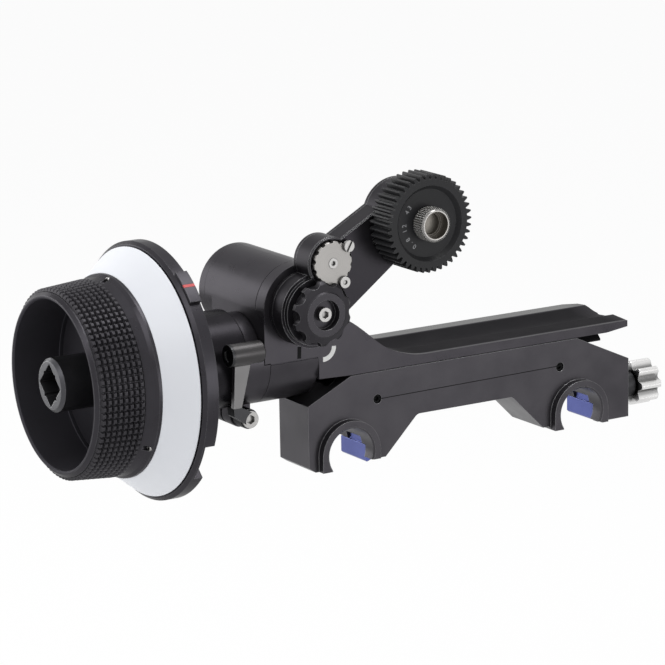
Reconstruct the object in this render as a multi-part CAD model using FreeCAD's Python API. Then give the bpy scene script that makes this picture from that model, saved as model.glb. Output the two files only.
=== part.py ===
# Follow focus unit for two 19 mm support rods.
# X runs along the bridge, Y runs away from the lens gear side, Z is up.
# The origin is midway between the two rod axes, on the front plane of the saddle bosses.
import math
import os

import FreeCAD
import Part

Vec = FreeCAD.Vector
axisX = Vec(1, 0, 0)
axisY = Vec(0, 1, 0)
axisZ = Vec(0, 0, 1)
half = 0.5
fullTurn = 360.0
quarterTurn = 90.0
overcut = 1.0
hexSides = 6
eighthTurn = 45.0
tiny = 0.01

# fits
runFit = 0.05
looseFit = 0.3
slideGap = 0.1

# rods and saddles
rodSpacing = 104.0
rodRadius = 9.5
boreRadius = rodRadius + runFit
boreChamfer = 0.6
bossRadius = 12.5
saddleFootZ = -5.5
hookTipZ = -5.0

# bridge body
bridgeFrontY = 3.0
bridgeDepth = 20.5
bridgeTopZ = 28.65
bridgeLeftX = -68.8
bridgeRightX = 76.3
leftShoulder = (-50.1, 19.7)
rightShoulder = (51.8, 17.4)
leftHeelZ = -3.6
leftHeelRun = 2.8
rightFootZ = -5.8
innerFootZ = -4.2
innerLegZ = -3.6
archTopZ = 10.0
archLeftX = -21.5
leftLegToeX = -35.5
rightLegToeX = 35.8
archFillet = 3.0

# dovetail between carriage and bridge
tongueNeckWidth = 9.0
tongueBaseWidth = 12.0
tongueDepth = 3.9
tongueLeftX = -49.0
tongueRightX = 66.0

# jaws
jawRestOffset = 9.6
jawThickness = 4.4
jawBackTravel = 1.2
jawForwardTravel = 0.6
jawBottomZ = -5.9
jawShoulderZ = 0.7
jawNeckTopZ = 17.6
jawFrontY = 6.2
jawRearY = 23.2
jawNeckFrontY = 8.8
jawNeckRearY = 18.3
jawNeckInset = 0.8
jawBevel = 0.6
jawSlant = 1.4
bridgeMidY = bridgeFrontY + bridgeDepth * half

# tie bar and its bore
tieBarZ = 13.7
tieBarRadius = 2.5
tieBoreRadius = 2.8
tieBarOverhang = 0.6
tiePinRadius = 1.0
tiePlugRadius = 3.0
tiePlugLength = 4.0

# clamp screw and knob
clampScrewZ = 4.2
clampScrewRadius = 2.5
clampTipOffset = 12.2
clampHoleClearance = 0.3
clampShoulderRadius = 3.8
clampShoulderLength = 1.8
clampPocketDepth = 6.5
bushingThreadRadius = 4.5
bushingCollarRadius = 5.2
bushingCollarLength = 7.4
knobLeftX = 84.3
knobLength = 9.5
knobOuterRadius = 8.9
knobValleyRadius = 6.3
knobLobes = 8
knobSteps = 12
knobWave = 0.75
knobChamfer = 0.8

# set screws in the bridge face
bridgeScrewPlaces = [(-38.8, 18.3), (43.8, 18.5)]
bridgeScrewRadius = 1.75
bridgeScrewSink = 0.7
bridgeScrewLength = 3.4
bridgeScrewHex = 0.9

# carriage
wheelAxisY = 21.0
wheelAxisZ = 38.1
outputX = -70.5
barrelRadius = 18.0
barrelLeftX = -84.0
barrelRightX = -63.7
carriageRearY = 40.6
gearboxRadius = 16.0
gearboxRearY = 46.0
gearboxSeamY = 8.8
seamWidth = 0.35
seamDepth = 0.4
railTopZ = 32.4
railBottomZ = 28.9
railRearEndX = 79.2
railRearY = 40.6
railEnd = [(75.8, 3.0), (77.9, 17.2), (79.2, 27.3), (79.2, 33.0), (77.6, 38.2), (72.0, 40.6)]
troughFrontY = 14.7
troughRearY = 34.7
troughDepth = 2.0
railLipX = 66.0
railLipRise = 1.6
sweepStartAngle = -15.5
sweepStartSlope = (0.62, -0.78)
sweepPoints = [(-49.3, 48.6), (-41.6, 42.6), (-35.2, 37.6), (-30.8, 35.3), (-25.1, 33.5)]
sweepEndX = -16.0
flangeStepZ = 30.4
wedgeRightX = -49.5
rearBossRadius = 13.2

# gears
gearModule = 0.8
pressureAngle = 20.0
gearPlay = 0.1
bevelPlay = 0.2
rootExtra = 1.25
bevelTeeth = 16
bevelFace = 3.5
bevelHub = 2.2
pairTeeth = 24
sunTeeth = 28
idlerOneTeeth = 18
idlerTwoTeeth = 23
pinionTeeth = 28
driveTeeth = 43
pairFace = 4.5
pairFrontY = 29.0
flankSteps = 2
driveFlankSteps = 3
chamberPlay = 0.5
outputZ = wheelAxisZ + gearModule * pairTeeth

# shafts and bearings
inputShaftRadius = 4.0
inputNoseRadius = 2.5
layShaftRadius = 2.5
layBearingRadius = 5.0
layBearingLength = 3.0
layFrontY = 8.0
layCoverRadius = 10.9
spindleRadius = 2.5
spindleTipRadius = 2.0
outputShaftRadius = 4.5
outputBearingRadius = 8.0
outputBearingLength = 3.5
housingBearingRadius = 9.0
housingBearingLength = 4.0
shaftBoreRadius = 6.0

# gearbox rear cap and spindle nut
capDepth = 5.0
capSpigotRadius = 11.2
capSpigotFrontY = 37.8
capChamfer = 1.0
nutRadius = 4.2
nutLength = 2.6

# swing arm
armFrontY = -8.0
armSplitY = 1.0
armRearY = 2.5
armWall = 2.8
armHubRadius = 13.6
armHubFrontRadius = 12.4
armHubStepY = -5.4
armHubRecess = 0.8
armHubRecessRadius = 12.9
armTipRadius = 14.0
armLowerReach = 8.85
driveX = -30.6
driveZ = 87.0
idlerLobeRadius = 9.4
idlerOneAngle = 70.9
upperEdgeStart = (-61.8, 82.1)
upperEdgeEnd = (-43.2, 92.4)
armBevel = 0.7
armPivotRadius = 9.0
armPivotDepth = 2.8
armGearFrontY = -4.9
armGearFace = 5.6
armCavityFrontY = -5.2
coverScrewRadius = 0.9
coverScrewLength = 2.6
coverScrewPlaces = [(-54.8, 63.6), (-45.2, 88.8), (-36.4, 74.0)]
armDotPlace = (-45.6, 80.4)
armDotRadius = 1.3
armDotDepth = 1.4

# lock knob
lockFrontY = -14.0
lockRearY = -7.4
lockFaceRadius = 8.4
lockBodyRadius = 10.9
lockFlangeRadius = 11.9
lockFlangeFront = 2.6
lockFlangeRear = 4.3
lockBevel = 1.6
lockNeckRadius = 9.9
lockRecessRadius = 5.5
lockRecessDepth = 3.0
lockNotches = 10
lockNotchRadius = 3.2
lockNotchPlace = 13.4
lockScrewRadius = 2.6
lockScrewHead = 2.2
lockScrewHex = 1.25
lockScrewShank = 1.2
lockScrewShankLength = 5.0

# backlash disc and its screws
discRadius = 8.0
discFrontY = -9.4
discThickness = 3.0
discScallops = 14
discScallopRadius = 1.0
discScallopPlace = 8.35
discPocketRadius = 8.6
discScrewRadius = 1.9
discScrewProud = 0.15
discScrewHead = 1.6
discScrewHex = 0.8
discClampPlace = 8.4
discClampAngle = 42.7
discClampGapScallops = 4
discClampHeadRadius = 2.1
discClampHeadHeight = 1.3
discClampShankRadius = 0.9
discClampShankLength = 3.6
discClampSlotWidth = 0.8
discClampSlotDepth = 0.6
discClampSlotAngle = -60.0
idlerPinRadius = 2.0

# drive gear and its shaft
driveFrontY = -21.0
driveFace = 12.0
dishRadius = 13.9
dishFloorRadius = 12.4
dishDepth = 1.8
driveShaftRadius = 4.0
gearShaftRadius = 3.0
gearBearingRadius = 5.5
collarRadius = 5.9
collarBoreRadius = 4.9
collarFrontY = -25.3
collarDepth = 3.0
collarChamfer = 0.5
driveShaftFrontY = -19.6

# wheel housing and clamp
housingRadius = 18.0
housingLeftX = -122.0
housingRightX = -92.5
housingChamfer = 0.8
housingSpigotRadius = 14.9
housingSpigotEndX = -82.2
ringSeatRadius = 16.0
ringSeatLength = 6.2
splitLeftX = -95.0
splitRightX = -84.2
splitInnerRadius = 14.95
splitTopZ = 46.0
splitSlot = 1.2
splitBandRadius = 16.2
splitBandStep = 2.6
lugX = -90.7
lugZ = 17.5
lugRadius = 4.2
lugFrontY = 14.4
lugRearY = 27.0
pinchRadius = 2.0
pinchHeadRadius = 3.2
pinchHeadLength = 1.4
pinchHex = 1.5
leverHubRadius = 3.7
leverHubFrontY = 8.2
nutBarrelRadius = 2.9
nutBarrelLength = 5.0
nutCapLength = 0.8

# lever
leverBarrelX = (-104.6, -91.9)
leverBarrelY = -3.6
leverBarrelZ = 45.3
leverBarrelRadius = 4.0
leverCapLength = 1.0
leverPlateLean = -0.42
leverPlateThick = 2.2
leverPlateTop = (-103.4, -96.2)
leverPlateBottom = (-99.0, -95.8)
leverPlateBottomZ = 23.2
leverPlateBottomY = 5.3
leverReachDrop = 3.0

# hand wheel
rimX = -163.0
rimRadius = 33.1
rimChamfer = 1.2
cupRadius = 30.7
cupLip = 0.5
cupFloorX = -143.5
hubFaceX = -164.0
hubRadius = 9.8
hubChamfer = 1.2
hubSpigotRadius = 7.0
hubSpigotLength = 2.0
knurlLeftX = -161.4
knurlRightX = -144.9
knurlEndRadius = 34.5
knurlGroove = 0.4
knurlRows = 8
knurlHeight = 0.5
bandEndX = -141.4
bandRadius = 35.8
flangeX = -140.2
flangeRadius = 36.86
wheelBackX = -139.0
bossRadiusRear = 24.9
wheelRearX = -128.9
socketAcross = 11.4
socketDepth = 8.0
socketTwin = 9.2
wheelScrewRadius = 3.6
wheelScrewHead = 3.2
wheelScrewShank = 1.8
wheelScrewShankLength = 8.0
wheelScrewHex = 1.8

# marking disc
discInnerR = 37.0
discOuterR = 45.1
markingRearX = -128.4
markingRimX = -128.9
markingScrewAngles = [94.0, 214.0, 334.0]
markingScrewRadius = 1.2
markingScrewPlace = 35.4
markingScrewFrontX = -141.3
markingScrewLength = 5.0
markingScrewHex = 0.6

# index ring
ringFrontX = -128.0
ringRearX = -122.3
ringRadius = 47.0
ringChamfer = 1.2
pointerFrom = 123.0
pointerTo = 139.0
pointerRadius = 48.5
pointerLineWidth = 1.2
pointerLineAngle = 131.0
pointerLineDepth = 0.4
notchFrom = -156.0
notchTo = -136.0
notchInner = 41.0
notchX = -126.0


def cylY(x, z, radius, y0, y1):
    return Part.makeCylinder(radius, y1 - y0, Vec(x, y0, z), axisY)


def cylX(y, z, radius, x0, x1):
    return Part.makeCylinder(radius, x1 - x0, Vec(x0, y, z), axisX)


def box(x0, x1, y0, y1, z0, z1):
    return Part.makeBox(x1 - x0, y1 - y0, z1 - z0, Vec(x0, y0, z0))


def ringY(x, z, outer, inner, y0, y1):
    return cylY(x, z, outer, y0, y1).cut(cylY(x, z, inner, y0 - overcut, y1 + overcut))


def ringX(y, z, outer, inner, x0, x1):
    return cylX(y, z, outer, x0, x1).cut(cylX(y, z, inner, x0 - overcut, x1 + overcut))


def prismY(points, y0, y1):
    loop = [Vec(x, y0, z) for x, z in points]
    face = Part.Face(Part.makePolygon(loop + loop[:1]))
    return face.extrude(Vec(0, y1 - y0, 0))


def prismX(points, x0, x1):
    loop = [Vec(x0, y, z) for y, z in points]
    face = Part.Face(Part.makePolygon(loop + loop[:1]))
    return face.extrude(Vec(x1 - x0, 0, 0))


def turnX(profile, y, z):
    # profile is a closed list of (x, radius)
    loop = [Vec(x, y, z + radius) for x, radius in profile]
    face = Part.Face(Part.makePolygon(loop + loop[:1]))
    return face.revolve(Vec(0, y, z), axisX, fullTurn)


def turnY(profile, x, z):
    # profile is a closed list of (y, radius)
    loop = [Vec(x + radius, y, z) for y, radius in profile]
    face = Part.Face(Part.makePolygon(loop + loop[:1]))
    return face.revolve(Vec(x, 0, z), axisY, fullTurn)


def hexPrismY(x, z, apothem, y0, y1):
    corner = apothem / math.cos(math.pi / hexSides)
    points = []
    for k in range(hexSides):
        a = 2 * math.pi * (k + half) / hexSides
        points.append((x + corner * math.cos(a), z + corner * math.sin(a)))
    return prismY(points, y0, y1)


def hexPrismX(y, z, apothem, x0, x1):
    corner = apothem / math.cos(math.pi / hexSides)
    points = []
    for k in range(hexSides):
        a = 2 * math.pi * (k + half) / hexSides
        points.append((y + corner * math.cos(a), z + corner * math.sin(a)))
    return prismX(points, x0, x1)


def joined(shapes):
    result = shapes[0]
    if len(shapes) > 1:
        result = result.fuse(shapes[1:])
    return result.removeSplitter()


def onCircle(x, z, radius, degrees):
    a = math.radians(degrees)
    return (x + radius * math.cos(a), z + radius * math.sin(a))


# ---------------------------------------------------------------- gears

def involute(angle):
    return math.tan(angle) - angle


def toothOutline(teeth, play, steps, tipCut=0.0):
    # one turn of (radius, angle) points of an external involute gear, tooth centre at angle 0
    pitch = gearModule * teeth * half
    base = pitch * math.cos(math.radians(pressureAngle))
    tip = pitch + gearModule - tipCut
    root = pitch - rootExtra * gearModule
    halfTooth = math.pi / (2 * teeth) - play / (2 * pitch)
    halfBase = halfTooth + involute(math.radians(pressureAngle))
    start = max(base, root)
    rising = []
    for k in range(steps + 1):
        r = start + (tip - start) * k / steps
        a = halfBase - involute(math.acos(min(1.0, base / r)))
        rising.append((r, a))
    foot = [(root, rising[0][1])] if root < base - tiny else []
    side = foot + rising
    loop = []
    for n in range(teeth):
        centre = 2 * math.pi * n / teeth
        for r, a in side:
            loop.append((r, centre - a))
        for r, a in reversed(side):
            loop.append((r, centre + a))
    return loop


def spurGear(teeth, x, z, phase, y0, y1, bore, steps=flankSteps):
    # the phase is the angle from +X towards +Z of one tooth centre
    turn = math.radians(phase)
    points = []
    for r, a in toothOutline(teeth, gearPlay, steps):
        points.append((x + r * math.cos(a + turn), z + r * math.sin(a + turn)))
    gear = prismY(points, y0, y1)
    return gear.cut(cylY(x, z, bore, y0 - overcut, y1 + overcut))


def bevelBlank(phase, bore, hubRadius, hubLength):
    # bevel gear on the Z axis, apex at the origin, large end at z = -pitch radius
    pitch = gearModule * bevelTeeth * half
    slant = math.hypot(pitch, pitch)
    ratio = (slant - bevelFace) / slant
    turn = math.radians(phase)
    ends = []
    for scale in (1.0, ratio):
        loop = []
        for r, a in toothOutline(bevelTeeth, bevelPlay, flankSteps):
            loop.append(Vec(r * scale * math.cos(a + turn), r * scale * math.sin(a + turn), -pitch * scale))
        ends.append(Part.makePolygon(loop + loop[:1]))
    teeth = Part.makeLoft(ends, True, True)
    hub = Part.makeCylinder(hubRadius, hubLength, Vec(0, 0, -pitch - hubLength), axisZ)
    gear = teeth.fuse(hub)
    tall = hubLength + 2 * pitch
    return gear.cut(Part.makeCylinder(bore, tall * 2, Vec(0, 0, -tall), axisZ))


# ---------------------------------------------------------------- bridge

leftRodX = -rodSpacing * half
rightRodX = rodSpacing * half
bridgeRearY = bridgeFrontY + bridgeDepth
rods = (leftRodX, rightRodX)


def bridgeOutline():
    leftTop, leftZ = leftShoulder
    rightTop, rightZ = rightShoulder
    archSide = archTopZ - innerFootZ
    return [
        (bridgeLeftX, leftHeelZ),
        (bridgeLeftX, leftZ),
        (leftTop, bridgeTopZ),
        (rightTop, bridgeTopZ),
        (bridgeRightX, rightZ),
        (bridgeRightX, rightFootZ),
        (rightRodX, rightFootZ),
        (rightRodX - boreRadius - half, saddleFootZ),
        (rightRodX - bossRadius, saddleFootZ),
        (rightRodX - bossRadius - overcut, innerFootZ),
        (rightLegToeX, innerFootZ),
        (rightLegToeX - archSide, archTopZ),
        (leftLegToeX + archSide, archTopZ),
        (leftLegToeX, innerFootZ),
        (leftRodX + bossRadius + overcut, innerFootZ),
        (leftRodX + bossRadius, innerLegZ),
        (leftRodX, innerLegZ),
        (leftRodX, saddleFootZ),
        (bridgeLeftX + leftHeelRun, saddleFootZ),
    ]


def saddleBoss(rodX):
    arch = cylY(rodX, 0, bossRadius, 0, bridgeFrontY + half)
    rightFootZ = innerLegZ if rodX < 0 else saddleFootZ
    legs = joined([box(rodX - bossRadius, rodX, 0, bridgeFrontY + half, saddleFootZ, 0),
                   box(rodX, rodX + bossRadius, 0, bridgeFrontY + half, rightFootZ, 0)])
    below = box(rodX - bossRadius - overcut, rodX + bossRadius + overcut, -overcut,
                bridgeFrontY + overcut, -bossRadius - overcut, saddleFootZ)
    shorter = box(rodX, rodX + bossRadius + overcut, -overcut, bridgeFrontY + overcut,
                  -bossRadius - overcut, rightFootZ)
    return joined([arch, legs]).cut(below).cut(shorter)


def saddleBore(rodX):
    front = Part.makeCone(boreRadius + boreChamfer + half, boreRadius, boreChamfer + half,
                          Vec(rodX, -half, 0), axisY)
    bore = cylY(rodX, 0, boreRadius, -overcut, bridgeRearY + overcut)
    hookX = rodX - math.sqrt(boreRadius ** 2 - hookTipZ ** 2)
    mouth = box(hookX, rodX + boreRadius, -overcut, bridgeRearY + overcut,
                -boreRadius - overcut, hookTipZ)
    return bore.fuse([front, mouth])


def jawPocket(rodX):
    x0 = rodX + boreRadius - overcut
    x1 = rodX + jawRestOffset + jawThickness + jawBackTravel + looseFit
    block = box(x0 - overcut, x1, jawFrontY - looseFit, bridgeRearY + overcut,
                jawBottomZ - overcut, jawShoulderZ + looseFit)
    neck = box(x0 + looseFit, x1, jawNeckFrontY - looseFit, jawNeckRearY + looseFit,
               jawShoulderZ, jawNeckTopZ + looseFit)
    return block.fuse(neck)


def dovetail(gap, x0, x1, rise):
    top = railBottomZ + rise
    bottom = railBottomZ - tongueDepth - gap
    neck = tongueNeckWidth * half + gap
    base = tongueBaseWidth * half + gap
    knee = bottom + (base - neck) * half
    points = [(-neck, top), (-neck, knee + (base - neck)), (-base, knee), (-base, bottom)]
    right = [(-y, z) for y, z in reversed(points)]
    return prismX([(bridgeMidY + y, z) for y, z in points + right], x0, x1)


def tieBore():
    x0 = leftRodX + jawRestOffset - jawForwardTravel - tieBarOverhang - looseFit
    return cylX(bridgeMidY, tieBarZ, tieBoreRadius, x0, bridgeRightX - tiePlugLength)


def makeBridge():
    body = prismY(bridgeOutline(), bridgeFrontY, bridgeRearY)
    edges = []
    for edge in body.Edges:
        line = edge.Vertexes[0].Point - edge.Vertexes[-1].Point
        mid = edge.CenterOfMass
        along = abs(line.y) > bridgeDepth * half
        if along and abs(mid.z - archTopZ) < overcut and abs(mid.x) < archFillet - archLeftX:
            edges.append(edge)
    body = body.makeFillet(archFillet, edges)
    body = joined([body] + [saddleBoss(x) for x in rods])
    for rodX in rods:
        body = body.cut(saddleBore(rodX))
        body = body.cut(jawPocket(rodX))
    body = body.cut(dovetail(slideGap, bridgeLeftX - overcut, bridgeRightX + overcut, overcut))
    body = body.cut(tieBore())
    plugX = bridgeRightX - tiePlugLength
    body = body.cut(cylX(bridgeMidY, tieBarZ, tiePlugRadius, plugX, bridgeRightX + overcut))
    screwX = rightRodX + boreRadius
    body = body.cut(cylX(bridgeMidY, clampScrewZ, clampScrewRadius + clampHoleClearance,
                         screwX, bridgeRightX + overcut))
    body = body.cut(cylX(bridgeMidY, clampScrewZ, bushingThreadRadius,
                         bridgeRightX - clampPocketDepth, bridgeRightX + overcut))
    for x, z in bridgeScrewPlaces:
        body = body.cut(cylY(x, z, bridgeScrewRadius, bridgeFrontY - overcut,
                             bridgeFrontY + bridgeScrewSink + bridgeScrewLength))
    return body.removeSplitter()


def makeJaw(rodX):
    x0 = rodX + jawRestOffset
    x1 = x0 + jawThickness
    block = prismY([(x0, jawBottomZ + jawBevel), (x0 + jawBevel, jawBottomZ),
                    (x1, jawBottomZ + jawSlant), (x1, jawShoulderZ), (x0, jawShoulderZ)],
                   jawFrontY, jawRearY)
    neck = box(x0 + jawNeckInset, x1, jawNeckFrontY, jawNeckRearY, jawShoulderZ, jawNeckTopZ)
    jaw = joined([block, neck])
    jaw = jaw.cut(cylX(bridgeMidY, tieBarZ, tieBarRadius, x0 - overcut, x1 + overcut))
    pinX = (x0 + x1) * half
    jaw = jaw.cut(cylY(pinX, tieBarZ, tiePinRadius, jawNeckFrontY - overcut, jawNeckRearY + overcut))
    if rodX > 0:
        hole = clampScrewRadius + runFit
        floorX = rodX + clampTipOffset - jawBackTravel - 2 * slideGap
        jaw = jaw.cut(cylX(bridgeMidY, clampScrewZ, hole, floorX, x1 + overcut))
    return jaw


def jawPinX(rodX):
    return rodX + jawRestOffset + jawThickness * half


def makeTieBar():
    x0 = leftRodX + jawRestOffset - tieBarOverhang + looseFit
    x1 = rightRodX + jawRestOffset + jawThickness + tieBarOverhang
    bar = cylX(bridgeMidY, tieBarZ, tieBarRadius, x0, x1)
    for rodX in rods:
        bar = bar.cut(cylY(jawPinX(rodX), tieBarZ, tiePinRadius, jawNeckFrontY, jawNeckRearY))
    return bar


def makeTiePins():
    pins = []
    for rodX in rods:
        pins.append(cylY(jawPinX(rodX), tieBarZ, tiePinRadius,
                         jawNeckFrontY + slideGap, jawNeckRearY - slideGap))
    return Part.makeCompound(pins)


def makeTiePlug():
    x0 = bridgeRightX - tiePlugLength
    plug = cylX(bridgeMidY, tieBarZ, tiePlugRadius, x0, bridgeRightX)
    return plug.cut(hexPrismX(bridgeMidY, tieBarZ, tiePlugRadius * half,
                              bridgeRightX - half * tiePlugLength, bridgeRightX + overcut))


def makeClampScrew():
    shoulderX = bridgeRightX - clampPocketDepth + slideGap
    tip = rightRodX + clampTipOffset
    rod = cylX(bridgeMidY, clampScrewZ, clampScrewRadius, tip, knobLeftX + knobLength - overcut)
    shoulder = cylX(bridgeMidY, clampScrewZ, clampShoulderRadius, shoulderX,
                    shoulderX + clampShoulderLength)
    return joined([rod, shoulder])


def makeClampBushing():
    x0 = bridgeRightX - clampPocketDepth + slideGap + clampShoulderLength + slideGap
    thread = cylX(bridgeMidY, clampScrewZ, bushingThreadRadius, x0, bridgeRightX + half)
    collar = cylX(bridgeMidY, clampScrewZ, bushingCollarRadius, bridgeRightX,
                  bridgeRightX + bushingCollarLength)
    hole = cylX(bridgeMidY, clampScrewZ, clampScrewRadius + runFit, x0 - overcut, knobLeftX)
    return joined([thread, collar]).cut(hole)


def knobOutline(lobes, outer, valley):
    # smooth lobed outline as (radius, angle) points
    points = []
    steps = lobes * knobSteps
    for k in range(steps):
        a = 2 * math.pi * k / steps
        wave = math.cos(lobes * a)
        shaped = math.copysign(abs(wave) ** knobWave, wave)
        points.append(((outer + valley) * half + (outer - valley) * half * shaped, a))
    return points


def makeClampKnob():
    loop = []
    for r, a in knobOutline(knobLobes, knobOuterRadius, knobValleyRadius):
        loop.append((bridgeMidY + r * math.cos(a), clampScrewZ + r * math.sin(a)))
    body = prismX(loop, knobLeftX, knobLeftX + knobLength)
    right = knobLeftX + knobLength
    edge = knobOuterRadius - knobChamfer
    shape = turnX([(knobLeftX - overcut, 0), (knobLeftX - overcut, edge - overcut),
                   (knobLeftX + knobChamfer, knobOuterRadius + knobChamfer * half),
                   (right - knobChamfer, knobOuterRadius + knobChamfer * half),
                   (right, edge), (right + overcut, edge - overcut), (right + overcut, 0)],
                  bridgeMidY, clampScrewZ)
    body = body.common(shape)
    return body.cut(cylX(bridgeMidY, clampScrewZ, clampScrewRadius, knobLeftX - overcut,
                         right - overcut))


def makeBridgeScrews():
    screws = []
    y0 = bridgeFrontY + bridgeScrewSink
    for x, z in bridgeScrewPlaces:
        screw = cylY(x, z, bridgeScrewRadius, y0, y0 + bridgeScrewLength)
        screws.append(screw.cut(hexPrismY(x, z, bridgeScrewHex, y0 - overcut, y0 + overcut)))
    return Part.makeCompound(screws)


# ---------------------------------------------------------------- carriage

def bridgeRelief():
    # clearance over the bridge's left slope
    leftTop, leftZ = leftShoulder
    gap = railBottomZ - bridgeTopZ
    rise = looseFit + gap
    points = [(bridgeLeftX - looseFit, leftHeelZ), (bridgeLeftX - looseFit, leftZ + rise),
              (leftTop, railBottomZ), (railRearEndX, railBottomZ), (railRearEndX, leftHeelZ)]
    return prismY(points, bridgeFrontY - overcut, bridgeRearY + looseFit)


def sweepCurve(y):
    start = onCircle(outputX, outputZ, gearboxRadius, sweepStartAngle)
    points = [Vec(start[0], y, start[1])]
    points += [Vec(x, y, z) for x, z in sweepPoints]
    points.append(Vec(sweepEndX, y, railTopZ))
    curve = Part.BSplineCurve()
    slopeX, slopeZ = sweepStartSlope
    curve.interpolate(Points=points, InitialTangent=Vec(slopeX, 0, slopeZ), FinalTangent=axisX)
    return curve, points


def upperBlock():
    y = bridgeFrontY
    sweep, points = sweepCurve(y)
    leftX = outputX - gearboxRadius
    left = Vec(leftX, y, outputZ)
    top = Vec(outputX, y, outputZ + gearboxRadius)
    arc = Part.Arc(left, top, points[0]).toShape()
    path = [Vec(points[-1].x, y, railTopZ), Vec(railRearEndX, y, railTopZ),
            Vec(railRearEndX, y, railBottomZ + railLipRise), Vec(railLipX, y, railBottomZ),
            Vec(wedgeRightX, y, railBottomZ), Vec(barrelRightX, y, flangeStepZ - overcut),
            Vec(barrelRightX, y, wheelAxisZ), Vec(leftX, y, wheelAxisZ), left]
    lower = Part.makePolygon(path)
    wire = Part.Wire([arc, sweep.toShape()] + lower.Edges)
    return Part.Face(wire).extrude(Vec(0, railRearY - y, 0))


def gearHousing():
    # the part behind the rail's rear edge only follows the gearbox
    barrel = cylX(wheelAxisY, wheelAxisZ, barrelRadius, barrelLeftX, barrelRightX)
    tower = cylY(outputX, outputZ, gearboxRadius, bridgeFrontY, gearboxRearY)
    leftX = outputX - gearboxRadius
    cheek = box(leftX, outputX + gearboxRadius - overcut, bridgeFrontY + overcut,
                carriageRearY, wheelAxisZ, outputZ)
    boss = cylY(outputX, wheelAxisZ, rearBossRadius, wheelAxisY, carriageRearY)
    return [barrel, tower, cheek, boss]


def railTrough():
    # shallow concave channel along the rail that climbs the sweep
    midY = (troughFrontY + troughRearY) * half
    sweep, points = sweepCurve(midY)
    sweep.reverse()
    startX = railRearEndX + overcut
    line = Part.makeLine(Vec(startX, midY, railTopZ), Vec(sweepEndX, midY, railTopZ))
    front = Vec(startX, troughFrontY, railTopZ)
    rear = Vec(startX, troughRearY, railTopZ)
    low = Vec(startX, midY, railTopZ - troughDepth)
    rise = Vec(0, 0, overcut)
    arc = Part.Arc(front, low, rear).toShape()
    lid = Part.makePolygon([rear, rear + rise, front + rise, front])
    path = Part.Wire([line, sweep.toShape()])
    return path.makePipeShell([Part.Wire([arc] + lid.Edges)], True, False)


def railEndCut():
    # everything to the right of the rail's rounded end
    far = railRearEndX + 2 * overcut
    loop = [(railEnd[0][0], railEnd[0][1] - 2 * overcut)] + railEnd
    loop += [(railEnd[-1][0], railRearY + 2 * overcut), (far, railRearY + 2 * overcut),
             (far, railEnd[0][1] - 2 * overcut)]
    low = railBottomZ - overcut
    points = [Vec(x, y, low) for x, y in loop]
    face = Part.Face(Part.makePolygon(points + points[:1]))
    return face.extrude(Vec(0, 0, railTopZ + overcut - low))


def gearboxHollows():
    midPitch = gearModule * bevelTeeth * half
    tip = gearModule * (pairTeeth + 2) * half + chamberPlay
    chamberFront = pairFrontY - chamberPlay
    chamberRear = pairFrontY + pairFace + 2 * overcut
    bevelTip = midPitch + gearModule + overcut
    cuts = [
        cylX(wheelAxisY, wheelAxisZ, housingSpigotRadius + runFit,
             outputX - gearboxRadius - overcut, housingSpigotEndX + looseFit),
        cylX(wheelAxisY, wheelAxisZ, bevelTip, housingSpigotEndX - overcut, barrelRightX - overcut),
        cylY(outputX, wheelAxisZ, bevelTip, layFrontY + layBearingLength, wheelAxisY),
        cylY(outputX, wheelAxisZ, layBearingRadius, layFrontY, wheelAxisY),
        cylY(outputX, wheelAxisZ, layBearingRadius, wheelAxisY, chamberRear),
        cylY(outputX, wheelAxisZ, layCoverRadius, chamberFront, carriageRearY + overcut),
        cylY(outputX, outputZ, capSpigotRadius, chamberFront, gearboxRearY + overcut),
        cylY(outputX, outputZ, armPivotRadius + runFit, bridgeFrontY - overcut,
             armRearY + armPivotDepth + looseFit + half),
        cylY(outputX, outputZ, outputBearingRadius, armRearY + armPivotDepth,
             armRearY + armPivotDepth + half + outputBearingLength + looseFit),
        cylY(outputX, outputZ, outputShaftRadius + half, bridgeFrontY, chamberFront + overcut),
    ]
    return cuts


def makeCarriage():
    body = joined([upperBlock()] + gearHousing())
    body = body.cut(railTrough())
    body = body.cut(railEndCut())
    body = body.cut(bridgeRelief())
    tongue = dovetail(0, tongueLeftX, tongueRightX, half)
    body = joined([body, tongue])
    for cut in gearboxHollows():
        body = body.cut(cut)
    seam = ringY(outputX, outputZ, gearboxRadius + overcut, gearboxRadius - seamDepth,
                 gearboxSeamY, gearboxSeamY + seamWidth)
    seam = seam.common(box(outputX - 2 * gearboxRadius, outputX + gearboxRadius,
                           bridgeFrontY, gearboxRearY, outputZ, outputZ + 2 * gearboxRadius))
    line = box(barrelLeftX - overcut, barrelRightX - half, bridgeFrontY - overcut,
               bridgeFrontY + seamDepth, wheelAxisZ - 2 * seamWidth, wheelAxisZ - seamWidth)
    return body.cut(seam).cut(line)


def makeRearCap():
    rear = gearboxRearY + capDepth
    outer = turnY([(gearboxRearY, 0), (gearboxRearY, gearboxRadius),
                   (rear - capChamfer, gearboxRadius), (rear, gearboxRadius - capChamfer),
                   (rear, 0)], outputX, outputZ)
    spigot = cylY(outputX, outputZ, capSpigotRadius, capSpigotFrontY, gearboxRearY)
    body = joined([outer, spigot])
    seatEnd = capSpigotFrontY + outputBearingLength + looseFit
    body = body.cut(cylY(outputX, outputZ, outputBearingRadius, capSpigotFrontY - overcut, seatEnd))
    body = body.cut(cylY(outputX, outputZ, spindleRadius, seatEnd - overcut, rear))
    nutFloor = rear - nutLength
    return body.cut(cylY(outputX, outputZ, nutRadius, nutFloor, rear + overcut))


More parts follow.
